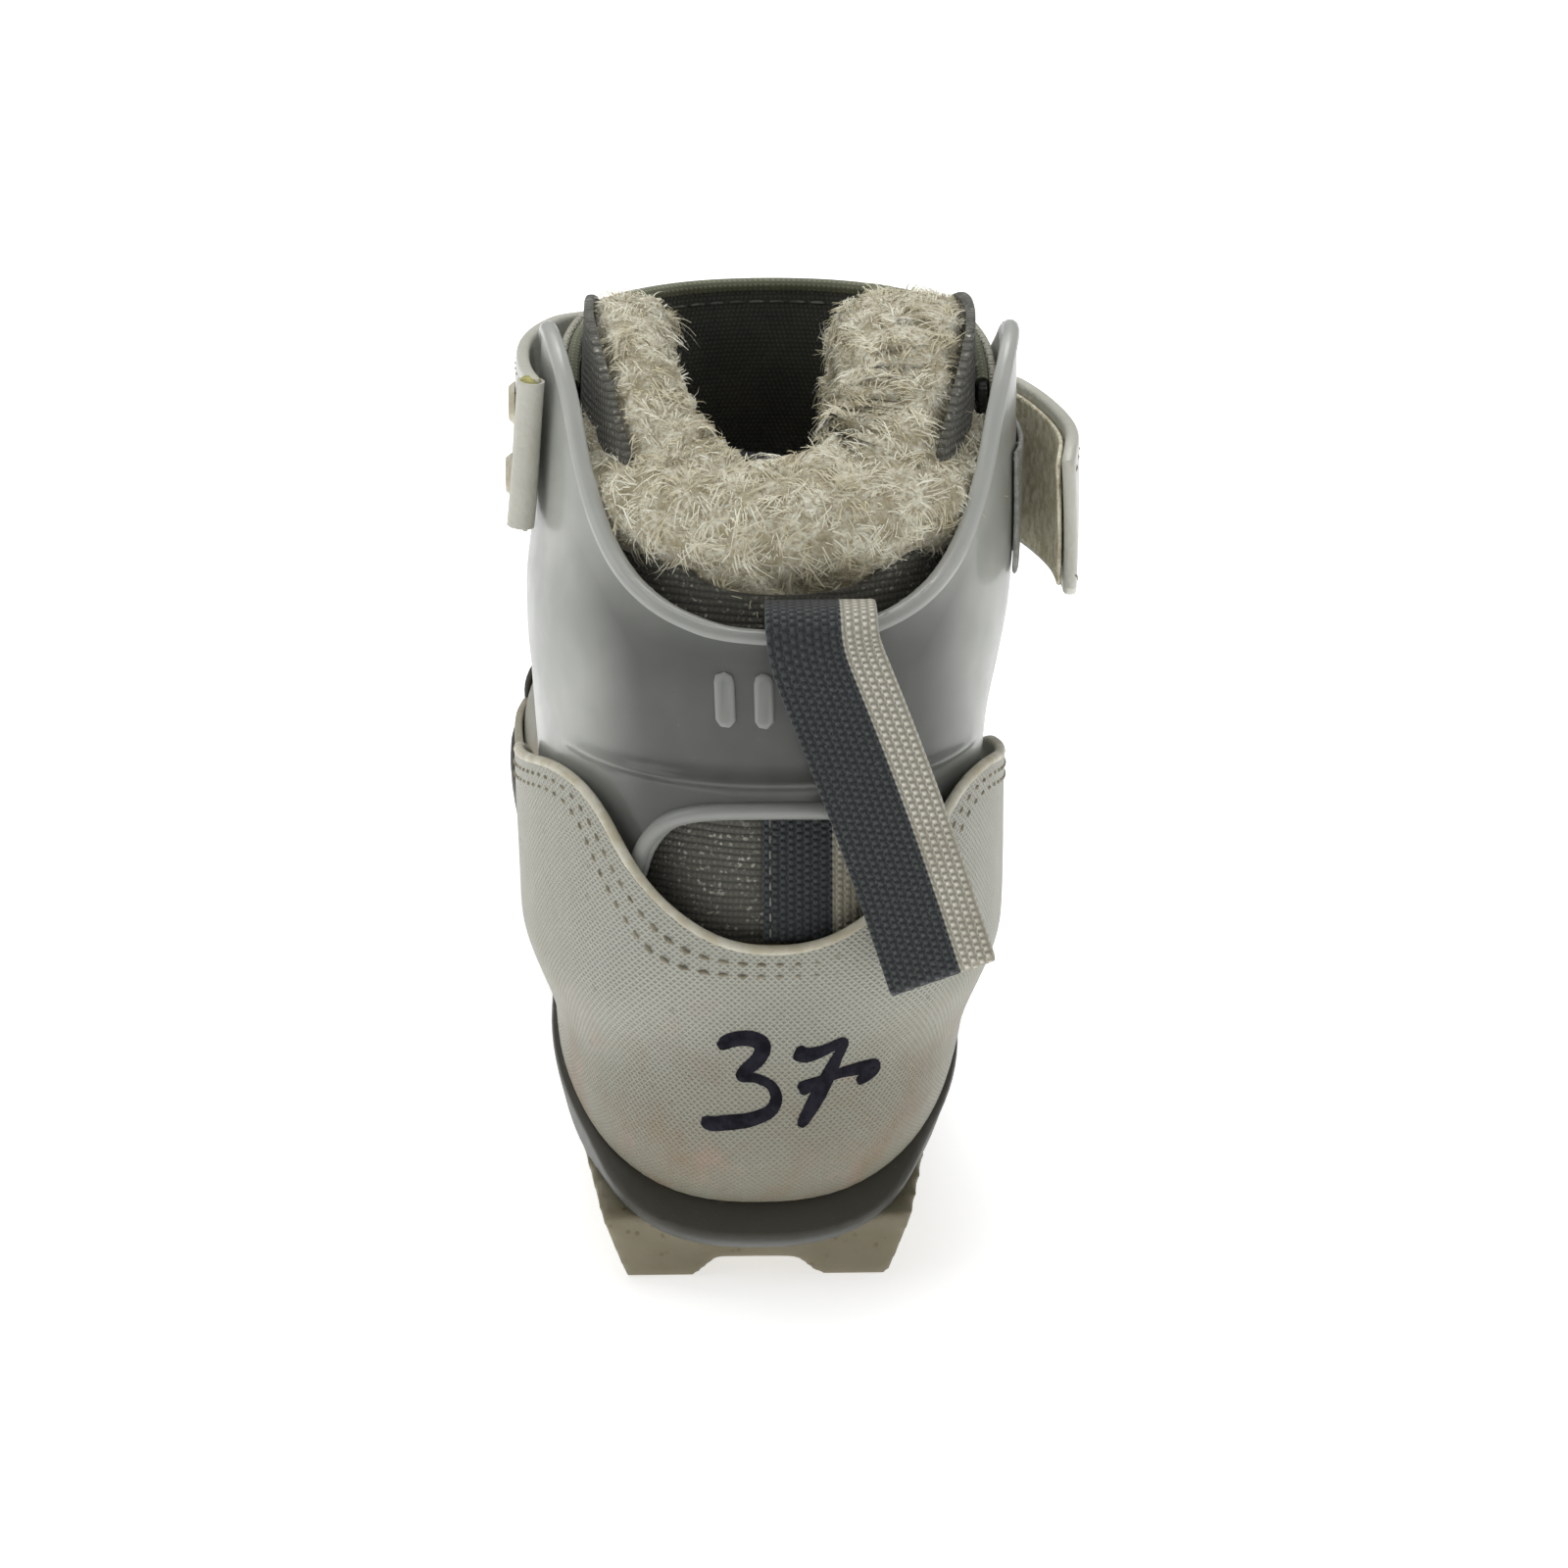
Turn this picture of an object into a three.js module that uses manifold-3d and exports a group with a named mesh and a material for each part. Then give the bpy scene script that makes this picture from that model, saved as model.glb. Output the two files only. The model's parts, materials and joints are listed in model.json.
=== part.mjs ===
// Cross-country ski boot, right foot, EU 37: soft upper on a grooved rubber sole, with a hinged ankle
// cuff.
// Millimetres, +Z up, +Y from heel to toe, +X to the wearer's right (the outer side of the foot).
// Every soft layer is cut from one surface, the last, which is drawn as a fan of closed rings.
import * as THREE from "three";
import { mergeVertices } from "three/addons/utils/BufferGeometryUtils.js";
import Module from "manifold-3d";

// ---- driving sizes ----
const LAST_LENGTH = 262; // heel to toe over the upper
const BALL_WIDTH = 89; // over the upper at the ball of the foot
const UPPER_HEIGHT = 146; // from the underside of the upper to the top of the last
const SOLE_RISE = 12; // ground to the underside of the upper
const GAP = 0.4; // left between layers that lie on each other
const SLIVER = 0.05; // edges that move the surface less than this are merged

const SHELL_WALL = 1.8;
const LINING_WALL = 4.2;
const COLLAR_WALL = 3.2;
const CUFF_WALL = 2.4;
const COUNTER_WALL = 1.6;
const COVER_WALL = 1.4;
const STRAP_WALL = 2.2;
const BAND_WALL = 2.8;
const UNDERFOOT_WALL = 2.6; // added to the band under the foot
const HEEL_CORNER_WALL = 3.2; // added again at the heel's bottom corner
const BOARD_WALL = 2;
const INSOLE_WALL = 3.6;

const PIVOT_Y = 50;
const PIVOT_Z = 64;
const FLEX_DEG = 12; // forward lean of the cuff
const THROAT_DEG = 28; // rise of the upper's front edge, seen from the ankle pivot
const ROLL_INSET = 5.2;
const RIVET_R = 3;
const RIVET_HEAD_R = 5.5;
const RIVET_HEAD = 0.8;
const EAR_R = 13;
const STRAP_WIDTH = 26;
const TAPE_WIDTH = 17.5;
const HEEL_TAPE_WALL = 0.9;
const LOOP_LENGTH = 60;
const BAR_R = 1.9;
const BAR_LENGTH = 36;
const GROOVE_DEPTH = 3.2;
const TOE_LIFT = 5; // of the tread above the ground at the toe
const ROUND_STEPS = 24; // points round a ring of the last
const RING_STEPS = 18; // rings along the last

// ---- the last ----
// Each ring runs from a back (then bottom) point to a front (then top) point, [y, z] at the base size.
// half: half-width. low: share of the ring's height at which it is widest. square: how square its lower
// and upper halves are. shift: sideways place of its back and front points.
const BASE = { length: 262, height: 146, width: 89, rise: 12 };
const RINGS = [
  { back: [20, 158], front: [92, 158], half: 32, low: 0.5, square: [2.2, 2.2], shift: [6, 4] },
  { back: [17.5, 140], front: [93, 140], half: 32.5, low: 0.5, square: [2.2, 2.2], shift: [5.5, 3.5] },
  { back: [13.5, 122], front: [96, 122], half: 33, low: 0.5, square: [2.2, 2.2], shift: [5, 3] },
  { back: [9.5, 104], front: [102, 108], half: 33.5, low: 0.48, square: [2.2, 2.1], shift: [4, 1] },
  { back: [6, 86], front: [109, 98.5], half: 33.8, low: 0.46, square: [2.2, 2], shift: [3.4, -1] },
  { back: [3, 66], front: [118, 90], half: 33.8, low: 0.43, square: [2.2, 2], shift: [2.8, -1] },
  { back: [0.5, 44], front: [128, 84], half: 33.6, low: 0.4, square: [2.2, 2], shift: [2, 0.8] },
  { back: [2, 24], front: [137, 80.3], half: 33, low: 0.38, square: [2.4, 2], shift: [1, 2] },
  { back: [16, 12.5], front: [146, 76.6], half: 32, low: 0.36, square: [2.6, 2], shift: [0, 2] },
  { back: [46, 12], front: [156, 72.5], half: 32, low: 0.34, square: [2.8, 1.9], shift: [0, 2] },
  { back: [80, 12], front: [168, 67.6], half: 34, low: 0.33, square: [3, 1.9], shift: [0.5, 1.5] },
  { back: [115, 12], front: [183, 61.5], half: 37.5, low: 0.32, square: [3, 1.9], shift: [1.5, 1.5] },
  { back: [150, 12], front: [200, 54.5], half: 41.5, low: 0.33, square: [3, 2], shift: [2.5, 1.2] },
  { back: [182, 12.5], front: [217, 49], half: 44, low: 0.36, square: [3, 2], shift: [2.5, 0] },
  { back: [210, 13.3], front: [231, 45.5], half: 42, low: 0.4, square: [3, 2.2], shift: [0.5, -2] },
  { back: [234, 14.8], front: [244, 41.5], half: 34, low: 0.44, square: [2.8, 2.3], shift: [-2.5, -4] },
  { back: [251, 17.5], front: [254.5, 37], half: 22, low: 0.48, square: [2.4, 2.3], shift: [-5.5, -6] },
  { back: [260, 23], front: [260.5, 32], half: 8, low: 0.5, square: [2, 2], shift: [-7, -7] },
];
const gradeY = (y) => (y * LAST_LENGTH) / BASE.length;
const gradeZ = (z) => SOLE_RISE + ((z - BASE.rise) * UPPER_HEIGHT) / BASE.height;
const gradeX = (x) => (x * BALL_WIDTH) / BASE.width;

const through = (points) => new THREE.CatmullRomCurve3(points, false, "catmullrom", 0.5);
const ringLine = (end) =>
  through(RINGS.map((r) => new THREE.Vector3(
    gradeX(r.shift[end]),
    gradeY((end ? r.front : r.back)[0]),
    gradeZ((end ? r.front : r.back)[1]),
  )));
const backLine = ringLine(0);
const frontLine = ringLine(1);
const bulkLine = through(RINGS.map((r) => new THREE.Vector3(gradeX(r.half), r.low, 0)));
const squareLine = through(RINGS.map((r) => new THREE.Vector3(r.square[0], r.square[1], 0)));

// Half of a ring as [sideways share, height share], evenly spaced along its length.
function halfRing(half, low, square, height, steps) {
  const fine = 120;
  const line = [];
  for (let i = 0; i <= fine; i++) {
    const turn = (Math.PI * i) / fine;
    const lower = turn < Math.PI / 2;
    const power = 2 / square[lower ? 0 : 1];
    const side = Math.abs(Math.sin(turn)) ** power;
    const rise = Math.abs(Math.cos(turn)) ** power;
    line.push([side, lower ? low * (1 - rise) : low + (1 - low) * rise]);
  }
  const reach = [0];
  for (let i = 1; i <= fine; i++) {
    const across = (line[i][0] - line[i - 1][0]) * half;
    const up = (line[i][1] - line[i - 1][1]) * height;
    reach.push(reach[i - 1] + Math.hypot(across, up));
  }
  const out = [];
  for (let k = 0; k <= steps; k++) {
    const want = (reach[fine] * k) / steps;
    let i = 1;
    while (i < fine && reach[i] < want) i++;
    const share = (want - reach[i - 1]) / Math.max(reach[i] - reach[i - 1], 1e-9);
    out.push([0, 1].map((c) => line[i - 1][c] + (line[i][c] - line[i - 1][c]) * share));
  }
  return out;
}

// The last as rows of points, with a normal at each.
function lastGrid() {
  const rows = [];
  for (let i = 0; i <= RING_STEPS; i++) {
    const u = i / RING_STEPS;
    const back = backLine.getPoint(u);
    const front = frontLine.getPoint(u);
    const bulk = bulkLine.getPoint(u);
    const square = squareLine.getPoint(u);
    const halfSteps = ROUND_STEPS / 2;
    const half = halfRing(bulk.x, bulk.y, [square.x, square.y], back.distanceTo(front), halfSteps);
    const row = [];
    for (let j = 0; j < ROUND_STEPS; j++) {
      const right = j <= halfSteps;
      const [side, rise] = half[right ? j : ROUND_STEPS - j];
      const point = back.clone().lerp(front, rise);
      point.x += (right ? 1 : -1) * side * bulk.x;
      row.push(point);
    }
    rows.push(row);
  }
  const normals = rows.map((row, i) =>
    row.map((_, j) => {
      const below = rows[Math.max(i - 1, 0)][j];
      const above = rows[Math.min(i + 1, RING_STEPS)][j];
      const before = row[(j + ROUND_STEPS - 1) % ROUND_STEPS];
      const after = row[(j + 1) % ROUND_STEPS];
      return after.clone().sub(before).cross(above.clone().sub(below)).normalize().negate();
    }));
  return { rows, normals };
}
const LAST = lastGrid();

// ---- solids ----
const wasm = await Module();
wasm.setup();

function solidOf(geometry) {
  const bare = geometry.clone();
  bare.deleteAttribute("normal");
  bare.deleteAttribute("uv");
  const merged = mergeVertices(bare, 1e-4);
  return new wasm.Manifold(new wasm.Mesh({
    numProp: 3,
    vertProperties: merged.attributes.position.array,
    triVerts: new Uint32Array(merged.index.array),
  }));
}

function geometryOf(solid) {
  const mesh = solid.getMesh();
  const geometry = new THREE.BufferGeometry();
  geometry.setAttribute("position", new THREE.BufferAttribute(mesh.vertProperties, 3));
  geometry.setIndex(new THREE.BufferAttribute(mesh.triVerts, 1));
  return geometry;
}

// A closed body through rings with the same number of points, each ring flat-capped by its own outline.
function loft(rings, capPlane) {
  const count = rings[0].length;
  const points = rings.flat();
  const faces = [];
  for (let i = 0; i + 1 < rings.length; i++)
    for (let j = 0; j < count; j++) {
      const a = i * count + j;
      const b = i * count + ((j + 1) % count);
      faces.push(a, b, b + count, a, b + count, a + count);
    }
  const cap = THREE.ShapeUtils.triangulateShape(rings[0].map(capPlane), []);
  const top = (rings.length - 1) * count;
  for (const [a, b, c] of cap) {
    faces.push(c, b, a);
    faces.push(top + a, top + b, top + c);
  }
  const geometry = new THREE.BufferGeometry();
  geometry.setAttribute("position", new THREE.Float32BufferAttribute(points.flatMap((p) => [p.x, p.y,
      p.z]), 3));
  geometry.setIndex(faces);
  const solid = solidOf(geometry);
  if (solid.volume() > 0) return solid;
  geometry.setIndex(faces.toReversed());
  return solidOf(geometry);
}

// The last grown by an offset, a number or a function of the point. Inner solids stop short of the toe
// tip.
function lastSolid(offset, lastRow = RING_STEPS) {
  const rings = LAST.rows.slice(0, lastRow + 1).map((row, i) =>
    row.map((p, j) => {
      const amount = typeof offset === "function" ? offset(p) : offset;
      return p.clone().addScaledVector(LAST.normals[i][j], amount);
    }));
  return loft(rings, (p) => new THREE.Vector2(p.x, p.y + p.z));
}
const TOE_ROW = RING_STEPS - 1; // where the lining ends, short of the toe tip
const layer = (inner, outer, innerRow = RING_STEPS) =>
  lastSolid(outer).subtract(lastSolid(inner, innerRow));

// ---- cutters ----
const REACH = 400;
const sideAxes = new THREE.Matrix4().makeBasis(
  new THREE.Vector3(0, 1, 0), new THREE.Vector3(0, 0, 1), new THREE.Vector3(1, 0, 0));

// A side-view outline, drawn in y and z, made solid from low x to high x.
function sideCut(points, lowX = -REACH / 2, highX = REACH / 2) {
  const geometry = new THREE.ExtrudeGeometry(
    points.isShape ? points : new THREE.Shape(points.map(([y, z]) => new THREE.Vector2(y, z))),
    { depth: highX - lowX, bevelEnabled: false, curveSegments: 8 },
  );
  geometry.applyMatrix4(sideAxes).translate(lowX, 0, 0);
  return solidOf(geometry);
}
const block = (x0, x1, y0, y1, z0, z1) =>
  solidOf(new THREE.BoxGeometry(x1 - x0, y1 - y0, z1 - z0)
    .translate((x0 + x1) / 2, (y0 + y1) / 2, (z0 + z1) / 2));
const smooth = (points, steps = 14) =>
  new THREE.SplineCurve(points.map(([y, z]) => new THREE.Vector2(y,
      z))).getPoints(steps).map((p) => [p.x, p.y]);
const base = (points) => points.map(([y, z]) => [gradeY(y), gradeZ(z)]);
const arc = (y, z, r, fromDeg, toDeg, steps = 8) =>
  Array.from({ length: steps + 1 }, (_, i) => {
    const turn = THREE.MathUtils.degToRad(fromDeg + ((toDeg - fromDeg) * i) / steps);
    return [y + r * Math.cos(turn), z + r * Math.sin(turn)];
  });
const ray = (deg, r) => arc(pivotY, pivotZ, r, deg, deg, 1)[0];
const blendStep = (x, low, high) => THREE.MathUtils.smoothstep(x, low, high);

const pivotY = gradeY(PIVOT_Y);
const pivotZ = gradeZ(PIVOT_Z);
const SPLIT_R = EAR_R + 3; // the round end of the upper round the ankle pivot
const splitZ = pivotZ - 2;

// The foot part of the upper stands still; the shaft above it leans with the cuff.
const startDeg = 180 - THREE.MathUtils.radToDeg(Math.asin((splitZ - pivotZ) / SPLIT_R));
const footRegion = sideCut([
  [-REACH, -REACH], [-REACH, splitZ], ...arc(pivotY, pivotZ, SPLIT_R, startDeg, THROAT_DEG),
  ray(THROAT_DEG, REACH), [REACH, -REACH],
]);
const shaftRegion = sideCut([
  [-REACH, splitZ + 2 * GAP], ...arc(pivotY, pivotZ, SPLIT_R + 2 * GAP, 180, THROAT_DEG + FLEX_DEG + 1),
  ray(THROAT_DEG + FLEX_DEG + 1, REACH), [REACH, REACH], [-REACH, REACH],
]);

// ---- heights round the foot ----
const bottomZ = (y) => {
  let i = 1;
  const points = RINGS.slice(8).map((r) => [gradeY(r.back[0]), gradeZ(r.back[1])]);
  while (i < points.length - 1 && points[i][0] < y) i++;
  const [[y0, z0], [y1, z1]] = [points[i - 1], points[i]];
  return z0 + ((z1 - z0) * THREE.MathUtils.clamp(y - y0, 0, y1 - y0)) / (y1 - y0);
};
const strip = (y0, y1, low, high, steps = 10) => {
  const ys = Array.from({ length: steps + 1 }, (_, i) => y0 + ((y1 - y0) * i) / steps);
  return [...ys.map((y) => [y, bottomZ(y) + low]), ...ys.toReversed().map((y) => [y, bottomZ(y) + high])];
};
const above = (low) => {
  const line = strip(-4, gradeY(256), low, low, 16).slice(0, 17);
  return sideCut([[-REACH, line[0][1]], ...line, [REACH, line[16][1]], [REACH, REACH], [-REACH, REACH]]);
};
// Top edge of the grey sole band: low behind the heel, high beside it, level along the foot.
const bandTop = smooth(base([[-12, 13.5], [4, 15], [16, 21], [32, 27.5], [55, 30], [90, 28], [140, 24.5],
  [190, 24], [225, 26], [250, 30], [275, 32]]), 16);
const belowBand = sideCut([...bandTop, [REACH, -REACH], [-REACH, -REACH]]);

// ---- pieces ----
const boot = new THREE.Group();
function add(name, solid, look) {
  const tidy = solid.simplify(SLIVER);
  const mesh = new THREE.Mesh(geometryOf(tidy), new THREE.MeshStandardMaterial(look));
  mesh.name = name;
  boot.add(mesh);
  return mesh;
}
const WHITE = { color: 0xdcdcd6, roughness: 0.6, metalness: 0 };
const TEXTILE = { color: 0x6c6c62, roughness: 0.9, metalness: 0 };
const FLEECE = { color: 0xd9d3be, roughness: 1, metalness: 0 };
const DARK = { color: 0x3a3d3a, roughness: 0.8, metalness: 0 };
const GREY_RUBBER = { color: 0x8a9094, roughness: 0.55, metalness: 0 };
const CREAM_RUBBER = { color: 0xd6d0b8, roughness: 0.5, metalness: 0 };
const CLEAR_PLASTIC = { color: 0xc4c8c6, roughness: 0.35, metalness: 0 };
const STEEL = { color: 0xb8bbbe, roughness: 0.3, metalness: 1 };
const WEBBING = { color: 0x3b4650, roughness: 0.9, metalness: 0 };
const BOARD = { color: 0xb59f7c, roughness: 0.9, metalness: 0 };

// Offsets from the last: the shell lies just inside it, and what is sewn or clipped on lies outside.
const SHELL = [-SHELL_WALL, 0];
const LINING = [-SHELL_WALL - GAP - LINING_WALL, -SHELL_WALL - GAP];
const EAR_OUT = 1.5 * GAP;
const BEHIND_OUT = GAP / 2 + HEEL_TAPE_WALL + 2 * GAP;
const WING_OUT = 2 * GAP + 2 * COVER_WALL + GAP;
const fromPivot = (p) => Math.hypot((p.y - pivotY) / gradeY(1), p.z - pivotZ);
const cuffInner = (p) =>
  EAR_OUT + (BEHIND_OUT - EAR_OUT) * blendStep(fromPivot(p), EAR_R + 1, 36) +
  (WING_OUT - BEHIND_OUT) * blendStep(p.z, gradeZ(88), gradeZ(110));
const cuffOuter = (p) => cuffInner(p) + CUFF_WALL;
const earSpace = EAR_OUT + CUFF_WALL + RIVET_HEAD + 4 * GAP;
const counterInner = (p) =>
  GAP + (earSpace - GAP) * blendStep(p.z, gradeZ(36), gradeZ(54)) * (1 - blendStep(fromPivot(p), 41, 52));
const counterOuter = (p) => counterInner(p) + COUNTER_WALL;
const strapInner = (p) => WING_OUT + CUFF_WALL + 2 * GAP + 1;
const onFrontOnly = (p) => blendStep(p.y, gradeY(76), gradeY(88));
const bandInner = (p) => strapInner(p) - (strapInner(p) - WING_OUT) * onFrontOnly(p);
const bandOuter = (p) => bandInner(p) + STRAP_WALL;

// The band thickens under the foot, and most of all round the bottom corner of the heel.
const bandWall = (p) =>
  BAND_WALL + UNDERFOOT_WALL * (1 - blendStep(p.z, SOLE_RISE, 2 * SOLE_RISE)) +
  HEEL_CORNER_WALL * Math.exp(-((p.y - gradeY(10)) ** 2 + (p.z - gradeZ(16)) ** 2) / 60);

const shell = layer(...SHELL);
const lining = layer(...LINING, TOE_ROW);
const throatHalf = gradeX(12);
const eyestayHalf = throatHalf + 7;
const throatEnd = gradeY(188);
const throatCut = (half) => block(-half, half, gradeY(90), throatEnd, gradeZ(52), REACH);
const vampLine = base([[150, 0], [150, 30], [138, 48], [120, 60], [110, 110]]);

function soleUnit() {
  const stations = [
    [10.5, 21.5, 25.5], [30, 22.5, 29], [70, 22.5, 30], [110, 24, 32], [150, 30, 38], [185, 33, 41],
    [215, 31, 38.5], [240, 26, 31], [258, 20, 23], [266, 18, 19.5],
  ].map(([y, low, high]) => [gradeY(y), gradeX(low), gradeX(high)]);
  const rings = stations.map(([y, low, high], i) => {
    const toe = blendStep(y, gradeY(205), gradeY(262));
    const floor = TOE_LIFT * toe;
    const heel = 1 - blendStep(y, gradeY(8), gradeY(44));
    const top = Math.min(bottomZ(y), gradeZ(16)) + 4.5 * (1 - toe) + 1 - 6.5 * heel;
    const centre = [0, 0, 0, 0.5, 1.5, 2, 0, -2, -3, -3][i];
    const grooveLow = 10.3;
    const grooveHigh = 6.5;
    const groove = floor + GROOVE_DEPTH;
    const lean = i === 0 ? -1.5 : 0;
    return [
      [centre - high, top, lean], [centre - low, floor, 0], [-grooveLow, floor, 0], [-grooveHigh,
          groove, 0],
      [grooveHigh, groove, 0], [grooveLow, floor, 0], [centre + low, floor, 0], [centre + high, top,
          lean],
    ].map(([x, z, back]) => new THREE.Vector3(x, y + back, z));
  });
  let sole = loft(rings, (p) => new THREE.Vector2(p.x, p.z));
  sole = sole.subtract(lastSolid((p) => bandWall(p) + 2 * GAP));
  const lugGap = 3;
  for (const y of [26, 44, 62, 150, 168, 186, 204].map(gradeY))
    for (const side of [-1, 1]) {
      const inner = 12.5;
      const cut = side < 0 ? [-REACH / 2, -inner] : [inner, REACH / 2];
      sole = sole.subtract(block(...cut, y, y + lugGap, -1, 2.2));
    }
  sole = sole.subtract(block(-REACH / 2, REACH / 2, gradeY(84), gradeY(136), -1, 1.6));
  const barY = gradeY(259);
  const barZ = TOE_LIFT + BAR_R + 0.8;
  const recess = BAR_LENGTH / 2 - 5;
  sole = sole.subtract(block(-recess, recess, barY - 6, REACH, -1, barZ + BAR_R + GAP + 1));
  const rod = (r, length) =>
    solidOf(new THREE.CylinderGeometry(r, r, length, 16).rotateZ(Math.PI / 2).translate(0, barY, barZ));
  add("outsole", sole.subtract(rod(BAR_R + GAP, BAR_LENGTH + 2 * GAP)), CREAM_RUBBER);
  add("binding_bar", rod(BAR_R, BAR_LENGTH), STEEL);
  add("midsole_band", layer(GAP, (p) => GAP + bandWall(p)).intersect(belowBand), GREY_RUBBER);
}

// The shank, lasting board and insole, stacked under the foot. Returns the height of the insole's top
// over the last.
function footBed() {
  const floor = GAP;
  const shank = sideCut(strip(gradeY(36), gradeY(150), floor, floor + 1.2), -10, 10);
  add("shank", shank, DARK);
  const boardLow = floor + 1.2 + GAP;
  const board = lastSolid(-SHELL_WALL - GAP, TOE_ROW)
    .intersect(sideCut(strip(-4, gradeY(256), boardLow, boardLow + BOARD_WALL, 16)));
  add("lasting_board", board, BOARD);
  const insoleLow = boardLow + BOARD_WALL + GAP;
  const insole = lastSolid(LINING[0] + 2.5, TOE_ROW)
    .intersect(sideCut(strip(-4, gradeY(256), insoleLow, insoleLow + INSOLE_WALL, 16)));
  add("insole", insole, TEXTILE);
  return insoleLow + INSOLE_WALL + GAP;
}

function upperShell() {
  const aboveBoard = above(2 * GAP + 1.2 + BOARD_WALL + GAP);
  const foot = shell.intersect(footRegion).intersect(aboveBoard);
  const vampRegion = sideCut([...vampLine, [REACH, gradeZ(110)], [REACH, -REACH], [gradeY(150), -REACH]]);
  const heelEdge = gradeY(24);
  add("vamp", foot.intersect(vampRegion).subtract(throatCut(eyestayHalf + GAP)), WHITE);
  const seam = vampLine.map(([y, z]) => [y - 1, z]);
  const quarterRegion = sideCut([...seam, [heelEdge, gradeZ(110)], [heelEdge, -REACH], [gradeY(149),
      -REACH]]);
  const rivetHole = (side) =>
    solidOf(new THREE.CylinderGeometry(RIVET_R + GAP, RIVET_R + GAP, 80, 20).rotateZ(Math.PI / 2)
      .translate(side * 50, pivotY, pivotZ));
  for (const [name, side] of [["quarter_inner", -1], ["quarter_outer", 1]]) {
    const half = block(side < 0 ? -REACH : 0, side < 0 ? 0 : REACH, 0, REACH, -REACH, REACH);
    const panel = foot.intersect(quarterRegion).intersect(half).subtract(throatCut(eyestayHalf + GAP));
    add(name, panel.subtract(rivetHole(side)), WHITE);
  }
  add("heel_stiffener", foot.intersect(block(-REACH, REACH, -REACH, heelEdge - GAP, -REACH,
      splitZ - GAP)), DARK);

  const eyelets = [122, 138, 154, 170].map(gradeY);
  for (const [name, side] of [["eyestay_inner", -1], ["eyestay_outer", 1]]) {
    const inner = side * (throatHalf + GAP);
    const outer = side * eyestayHalf;
    const bar = block(Math.min(inner, outer), Math.max(inner, outer), gradeY(90), throatEnd - GAP,
        gradeZ(52), REACH);
    let stay = foot.intersect(bar);
    for (const y of eyelets)
      stay = stay.subtract(solidOf(new THREE.CylinderGeometry(1.8, 1.8, 80, 12).rotateX(Math.PI / 2)
        .translate((inner + outer) / 2, y, gradeZ(70))));
    add(name, stay, DARK);
  }
  const puffRegion = sideCut([[gradeY(222), -REACH], [gradeY(226), REACH], [REACH, REACH], [REACH,
      -REACH]]);
  const puff = layer(-SHELL_WALL - GAP - 1, -SHELL_WALL - GAP, RING_STEPS - 1);
  add("toe_puff", puff.intersect(puffRegion).intersect(aboveBoard), BOARD);
  const bumperRegion = sideCut([...base([[226, 0], [224, 34], [232, 60]]), [REACH, REACH], [REACH,
      -REACH]]);
  const clearOfBand = sideCut([...bandTop.map(([y, z]) => [y, z + GAP]), [REACH, REACH], [-REACH,
      REACH]]);
  add("toe_cap", layer(GAP, GAP + 1.4).intersect(bumperRegion).intersect(clearOfBand), GREY_RUBBER);
}

function liningAndTongue(bedTop) {
  const aboveBed = above(bedTop);
  const beforePuff = block(-REACH, REACH, -REACH, gradeY(220), -REACH, REACH);
  const tongueHalf = gradeX(16);
  const tongueSlot = (half, grow) =>
    block(-half, half, gradeY(84) - grow, gradeY(196) + grow, gradeZ(48) - grow, REACH);
  const lower = lining.intersect(footRegion).intersect(aboveBed).intersect(beforePuff);
  add("foot_lining", lower.subtract(tongueSlot(tongueHalf + 2 * GAP, 1)), FLEECE);
  const tongueEnd = sideCut(smooth(base([[60, 98], [72, 115], [84, 118], [96, 117], [110, 110], [150, 90],
    [210, 60], [230, 30]]), 12).concat([[gradeY(100), gradeZ(20)]]));
  const roundTop = block(-tongueHalf, tongueHalf, gradeY(84), gradeY(196), gradeZ(48), REACH);
  add("tongue", lining.intersect(roundTop).intersect(tongueEnd), TEXTILE);
}

function heelCounter() {
  const region = sideCut([
    ...smooth(base([[-14, 61.5], [1, 61.8], [3.3, 63.5], [6.6, 68.3], [11, 75], [15, 81], [20, 84.5],
        [27, 84.8],
      [38, 82], [50, 79], [60, 76], [69, 71.5], [77, 64], [84, 52], [96, 38], [112, 28]]), 28),
    [gradeY(112), -REACH], [-REACH, -REACH], [-REACH, gradeZ(61.5)],
  ]);
  const clearOfBand = sideCut([...bandTop.map(([y, z]) => [y, z + GAP]), [REACH, REACH], [-REACH,
      REACH]]);
  const wrap = lastSolid(counterOuter).subtract(lastSolid(counterInner));
  add("heel_counter", wrap.intersect(region).intersect(clearOfBand), WHITE);
}

// The hard cuff: a rim low behind the heel and high at the wings, an arch below it, and an ear at each
// pivot.
function ankleCuff() {
  const wingFront = 66;
  const rim = smooth(base([[-10, 111], [8, 111.5], [14, 114], [22, 121], [30, 132], [37, 144], [45,
      150.5],
    [56, 150], [wingFront, 143]]), 18);
  const frontEdge = smooth(base([[wingFront + 3, 132], [wingFront + 2, 112], [wingFront, 96],
      [wingFront - 1, 84]]), 6);
  const earRound = arc(pivotY, pivotZ, EAR_R, 10, -170, 12);
  const arch = smooth(base([[36, 59], [30, 61], [22, 63], [14, 65], [10.5, 70], [9.8, 76], [8.5,
      80.5], [6, 83],
    [2, 83.5], [-12, 83.5]]), 18);
  const outline = sideCut([...rim, ...frontEdge, ...earRound, ...arch]);
  let cuff = lastSolid(cuffOuter).subtract(lastSolid(cuffInner)).intersect(outline);
  const hole = solidOf(new THREE.CylinderGeometry(RIVET_R + GAP, RIVET_R + GAP, REACH, 20)
    .rotateZ(Math.PI / 2).translate(0, pivotY, pivotZ));
  cuff = cuff.subtract(hole);
  add("cuff", cuff, CLEAR_PLASTIC);
}

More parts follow.
